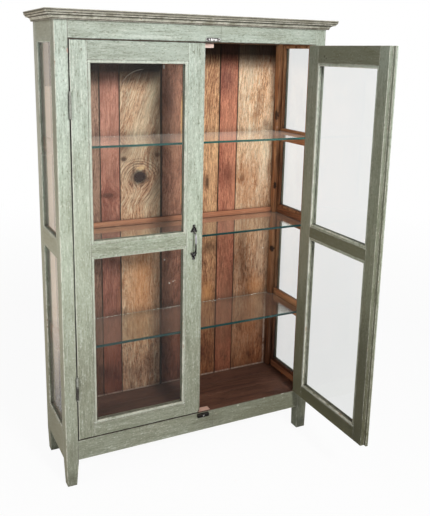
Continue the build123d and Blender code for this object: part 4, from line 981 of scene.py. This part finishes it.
# A dark rim under two raised halves, with the slot between them
def addScrew(grid, corner, radius, height):
    look = screwLook
    sides = look["sides"]
    rimTop = height * look["rim"]
    angles = [2 * math.pi * i / sides for i in range(sides)]
    circle = [(math.cos(a), math.sin(a)) for a in angles]
    low = addRing(grid, corner, [(radius * x, radius * y, look["sunk"]) for x, y in circle])
    high = addRing(grid, corner, [(radius * x, radius * y, rimTop) for x, y in circle])
    join(grid, low, high, 1)
    for ring in (low[::-1], high):
        grid.faces.new(ring).material_index = 1
    gap = look["slot"] * radius
    wide, crown = radius * look["halves"], look["crown"]
    first = math.asin(look["slot"])
    turned = [first + (math.pi - 2 * first) * i / (sides // 2) for i in range(sides // 2 + 1)]
    for sign in (-1, 1):
        outline = [(wide * math.cos(a), sign * max(wide * math.sin(a), gap)) for a in turned]
        if sign < 0:
            outline.reverse()
        base = addRing(grid, corner, [(x, y, rimTop * 0.5) for x, y in outline])
        shoulder = addRing(grid, corner, [(x, y, height * look["shoulder"]) for x, y in outline])
        top = addRing(grid, corner, [(x * crown, sign * gap + (y - sign * gap) * crown, height)
                                     for x, y in outline])
        join(grid, base, shoulder)
        join(grid, shoulder, top)
        grid.faces.new(base[::-1])
        grid.faces.new(top)


def addNail(grid, corner, radius, height):
    nail = screwLook["nail"]
    sides, rings = nail["sides"], []
    levels = [(1.0, screwLook["sunk"])] + [(share, height * level) for share, level in nail["steps"]]
    for share, level in levels:
        wobble = [1 + random.uniform(-nail["uneven"], nail["uneven"]) for _ in range(sides)]
        ring = [(share * radius * wobble[i] * math.cos(2 * math.pi * i / sides),
                 share * radius * wobble[i] * math.sin(2 * math.pi * i / sides), level) for i in range(sides)]
        rings.append(addRing(grid, corner, ring))
    for lower, upper in zip(rings, rings[1:]):
        join(grid, lower, upper)
    grid.faces.new(rings[0][::-1])
    grid.faces.new(rings[-1])


def facing(at, outward, turn=0.0):
    aimed = Vector(outward).to_track_quat("Z", "Y").to_matrix().to_4x4()
    return Matrix.Translation(at) @ aimed @ Matrix.Rotation(turn, 4, "Z")


def addFixings(name, places, kind, materials, body):
    mesh = bpy.data.meshes.new(name)
    grid = bmesh.new()
    sizes = screwLook[kind]
    for at, outward in places:
        corner = facing(at, outward, random.uniform(0, math.pi))
        if kind == "nail":
            addNail(grid, corner, sizes["radius"] * random.uniform(*sizes["sizes"]), sizes["height"])
        else:
            addScrew(grid, corner, sizes["radius"], sizes["height"])
    bmesh.ops.recalc_face_normals(grid, faces=grid.faces)
    grid.to_mesh(mesh)
    grid.free()
    piece = bpy.data.objects.new(name, mesh)
    bpy.context.scene.collection.objects.link(piece)
    for material in materials:
        mesh.materials.append(material)
    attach(piece, body)


# Where the fixings sit
fixings = {
    "hingeLevels": (0.415, 1.499),
    # height from the middle of the leaf and distance in from its edge, for each screw
    "leafScrews": ((-0.034, 0.010), (0.0, 0.018), (0.034, 0.010)), "leafEdge": -0.1625,
    "frameLeaf": 0.5111, "leftLeaf": -0.5109, "rightLeaf": (0.5055, -0.1681),
    # lobes of the handle plates, from the middle of the plate
    "handleLevel": 0.951, "lobeRise": 0.046, "lobeSpread": 0.0095,
    "leftHandle": (-0.025, -0.1655), "rightHandle": (0.5085, -0.64),
    # two nails a plank at each of these heights, with a little play
    "nailLevels": (0.144, 0.963, 1.77), "nailShares": (0.24, 0.76), "nailPlay": (0.006, 0.008),
    "back": 0.163,
}
screwIron, slotDark, nailIron = [forgedIron(name) for name in ("screwIron", "slotDark", "nailIron")]
frameLeaf, leftLeaf, rightLeaf = [], [], []
leafEdge = fixings["leafEdge"]
for level in fixings["hingeLevels"]:
    for rise, inset in fixings["leafScrews"]:
        for side in (-1, 1):
            frameLeaf.append(((side * fixings["frameLeaf"], leafEdge + inset, level + rise), (-side, 0, 0)))
        leftLeaf.append(((fixings["leftLeaf"], leafEdge + inset, level + rise), (-1, 0, 0)))
        acrossX, depthY = fixings["rightLeaf"]
        rightLeaf.append(((acrossX - inset, depthY, level + rise), (0, 1, 0)))
lobes = [(side * fixings["lobeSpread"], fixings["handleLevel"] + rise * fixings["lobeRise"])
         for side in (-1, 1) for rise in (-1, 1)]
leftX, leftY = fixings["leftHandle"]
rightX, rightY = fixings["rightHandle"]
leftLobes = [((leftX + along, leftY, z), (0, -1, 0)) for along, z in lobes]
rightLobes = [((rightX, rightY + along, z), (1, 0, 0)) for along, z in lobes]
screwMetals = [screwIron, slotDark]
addFixings("frame_leaf_screws", frameLeaf, "hinge", screwMetals, "cabinet")
addFixings("left_leaf_screws", leftLeaf, "hinge", screwMetals, "left_door")
addFixings("right_leaf_screws", rightLeaf, "hinge", screwMetals, "right_door")
addFixings("left_handle_screws", leftLobes, "handle", screwMetals, "left_door")
addFixings("right_handle_screws", rightLobes, "handle", screwMetals, "right_door")
plankEdges = [plank[0] for plank in plankLook["planks"]] + [plankLook["rightEdge"]]
playX, playZ = fixings["nailPlay"]
backNails = []
for level in fixings["nailLevels"]:
    for left, right in zip(plankEdges, plankEdges[1:]):
        for share in fixings["nailShares"]:
            across = left + (right - left) * share + random.uniform(-playX, playX)
            nailAt = (across, fixings["back"], level + random.uniform(-playZ, playZ))
            backNails.append((nailAt, (0, 1, 0)))
addFixings("back_nails", backNails, "nail", [nailIron], "cabinet")
print("fixings ready:", len(backNails), "nails")


# Camera, lamps, floor and backdrop
cameraSetting = {
    # degrees, and the focal length and middle of the picture in pixels of its frame
    "at": (-1.1299, -2.551, 1.6907), "yaw": -26.704, "pitch": -12.795, "roll": 1.212,
    "focal": 683.25, "middle": (215.99, 207.95), "frameSize": (430, 516), "sensor": 36.0,
    "clip": (0.05, 100.0),
}


def addCamera():
    look = cameraSetting
    data = bpy.data.cameras.new("camera")
    camera = bpy.data.objects.new("camera", data)
    bpy.context.scene.collection.objects.link(camera)
    wide, tall = look["frameSize"]
    middleX, middleY = look["middle"]
    data.sensor_width = look["sensor"]
    data.lens = look["sensor"] * look["focal"] / tall
    data.shift_x = (wide / 2 - middleX) / tall
    data.shift_y = (middleY - tall / 2) / tall
    data.clip_start, data.clip_end = look["clip"]
    turn = (Matrix.Rotation(math.radians(look["yaw"]), 4, "Z")
            @ Matrix.Rotation(math.radians(90 + look["pitch"]), 4, "X")
            @ Matrix.Rotation(math.radians(look["roll"]), 4, "Z"))
    camera.matrix_world = Matrix.Translation(look["at"]) @ turn
    bpy.context.scene.camera = camera


addCamera()

lighting = {
    "key": {"at": (0.15, -3.5, 2.65), "aim": (0.0, 0.0, 0.95), "size": 0.6, "power": 105.0},
    "fill": {"at": (-3.0, -0.9, 1.15), "aim": (0.0, 0.0, 0.8), "size": 2.2, "power": 34.0},
    "ambient": 0.22,
    # what glossy surfaces mirror: dimmer to the front and to the left, over these directions
    "frontReflection": 0.12, "frontSpan": (-0.5, 0.3), "sideReflection": 0.55, "sideSpan": (-0.3, 0.1),
    # a warm upright band behind the case
    "beyond": "BAAA9C", "beyondSpan": (-0.5, -0.12, 0.03), "beyondDepth": (0.8, 0.85),
}


def addLamp(name, at, aim, size, power):
    data = bpy.data.lights.new(name, "AREA")
    data.shape, data.size, data.energy = "SQUARE", size, power
    lamp = bpy.data.objects.new(name, data)
    bpy.context.scene.collection.objects.link(lamp)
    lamp.location = at
    lamp.rotation_euler = (Vector(aim) - Vector(at)).to_track_quat("-Z", "Y").to_euler()


for lampName in ("key", "fill"):
    addLamp(lampName, **lighting[lampName])


def addWorld():
    look = lighting
    world = bpy.data.worlds.new("studio")
    bpy.context.scene.world = world
    world.use_nodes = True
    inHand["tree"] = world.node_tree
    world.node_tree.nodes.clear()
    path = put("ShaderNodeLightPath").outputs
    seen = calc("MAXIMUM", path["Is Camera Ray"], path["Is Transmission Ray"])
    turnX, turnY = split(put("ShaderNodeTexCoord").outputs["Generated"])[:2]
    mirrored = times(spread(turnY, *look["frontSpan"], look["frontReflection"], 1.0),
                     spread(turnX, *look["sideSpan"], look["sideReflection"], 1.0))
    beyond = times(within(turnX, *look["beyondSpan"]), spread(turnY, *look["beyondDepth"]))
    mirrored = blend(beyond, mirrored, look["beyond"])
    colour = blend(path["Is Glossy Ray"], grey(look["ambient"]), mirrored)
    colour = blend(seen, colour, white)
    background = put("ShaderNodeBackground", {"Color": colour, "Strength": 1.0}).outputs[0]
    put("ShaderNodeOutputWorld", {"Surface": background})


addWorld()

# Glossy rays see the floor dimmed in front of the case, and pale behind it
floorLook = {
    "size": 30.0, "drop": 0.0005, "paper": 0.95, "speckle": 0.985, "roughness": 0.9,
    # the camera sees it glow by this share, and fully beyond the fade
    "glow": 0.94, "fade": (2.0, 5.0), "dimmed": 0.85,
    "pale": 0.95, "paleTone": "FFEAD2", "paleDepth": (0.6, 1.6),
}


def floorFinish():
    look = floorLook
    made, shader, output, where = start("studioFloor")
    paper, speckled = look["paper"], look["paper"] * look["speckle"]
    path = put("ShaderNodeLightPath").outputs
    colour = blend(noise(where, 6.0, 2.0), grey(paper), grey(speckled))
    colour = dab(colour, path["Is Glossy Ray"], look["dimmed"], black)
    feed(colour, shader.inputs["Base Color"])
    shader.inputs["Roughness"].default_value = look["roughness"]
    shader.inputs["Specular IOR Level"].default_value = 0.0
    seen = calc("MAXIMUM", path["Is Camera Ray"], path["Is Transmission Ray"])
    glow = times(seen, spread(lengthOf(where), *look["fade"], look["glow"], 1.0))
    bounced = times(path["Is Glossy Ray"], minus(1.0, path["Is Transmission Ray"]))
    behind = times(spread(split(where)[1], *look["paleDepth"]), look["pale"])
    share = calc("MAXIMUM", glow, times(behind, bounced))
    glowTone = blend(bounced, white, look["paleTone"])
    lit = put("ShaderNodeEmission", {"Color": glowTone, "Strength": 1.0}).outputs[0]
    both = put("ShaderNodeMixShader", {0: share, 1: shader.outputs[0], 2: lit}).outputs[0]
    feed(both, output.inputs["Surface"])
    return made


def addFloor():
    mesh = bpy.data.meshes.new("studioFloor")
    grid = bmesh.new()
    bmesh.ops.create_grid(grid, x_segments=8, y_segments=8, size=floorLook["size"])
    grid.to_mesh(mesh)
    grid.free()
    floor = bpy.data.objects.new("studioFloor", mesh)
    bpy.context.scene.collection.objects.link(floor)
    floor.location.z = -floorLook["drop"]
    mesh.materials.append(floorFinish())


addFloor()
bpy.context.scene.view_settings.view_transform = "Standard"
print("stage and lamps ready")
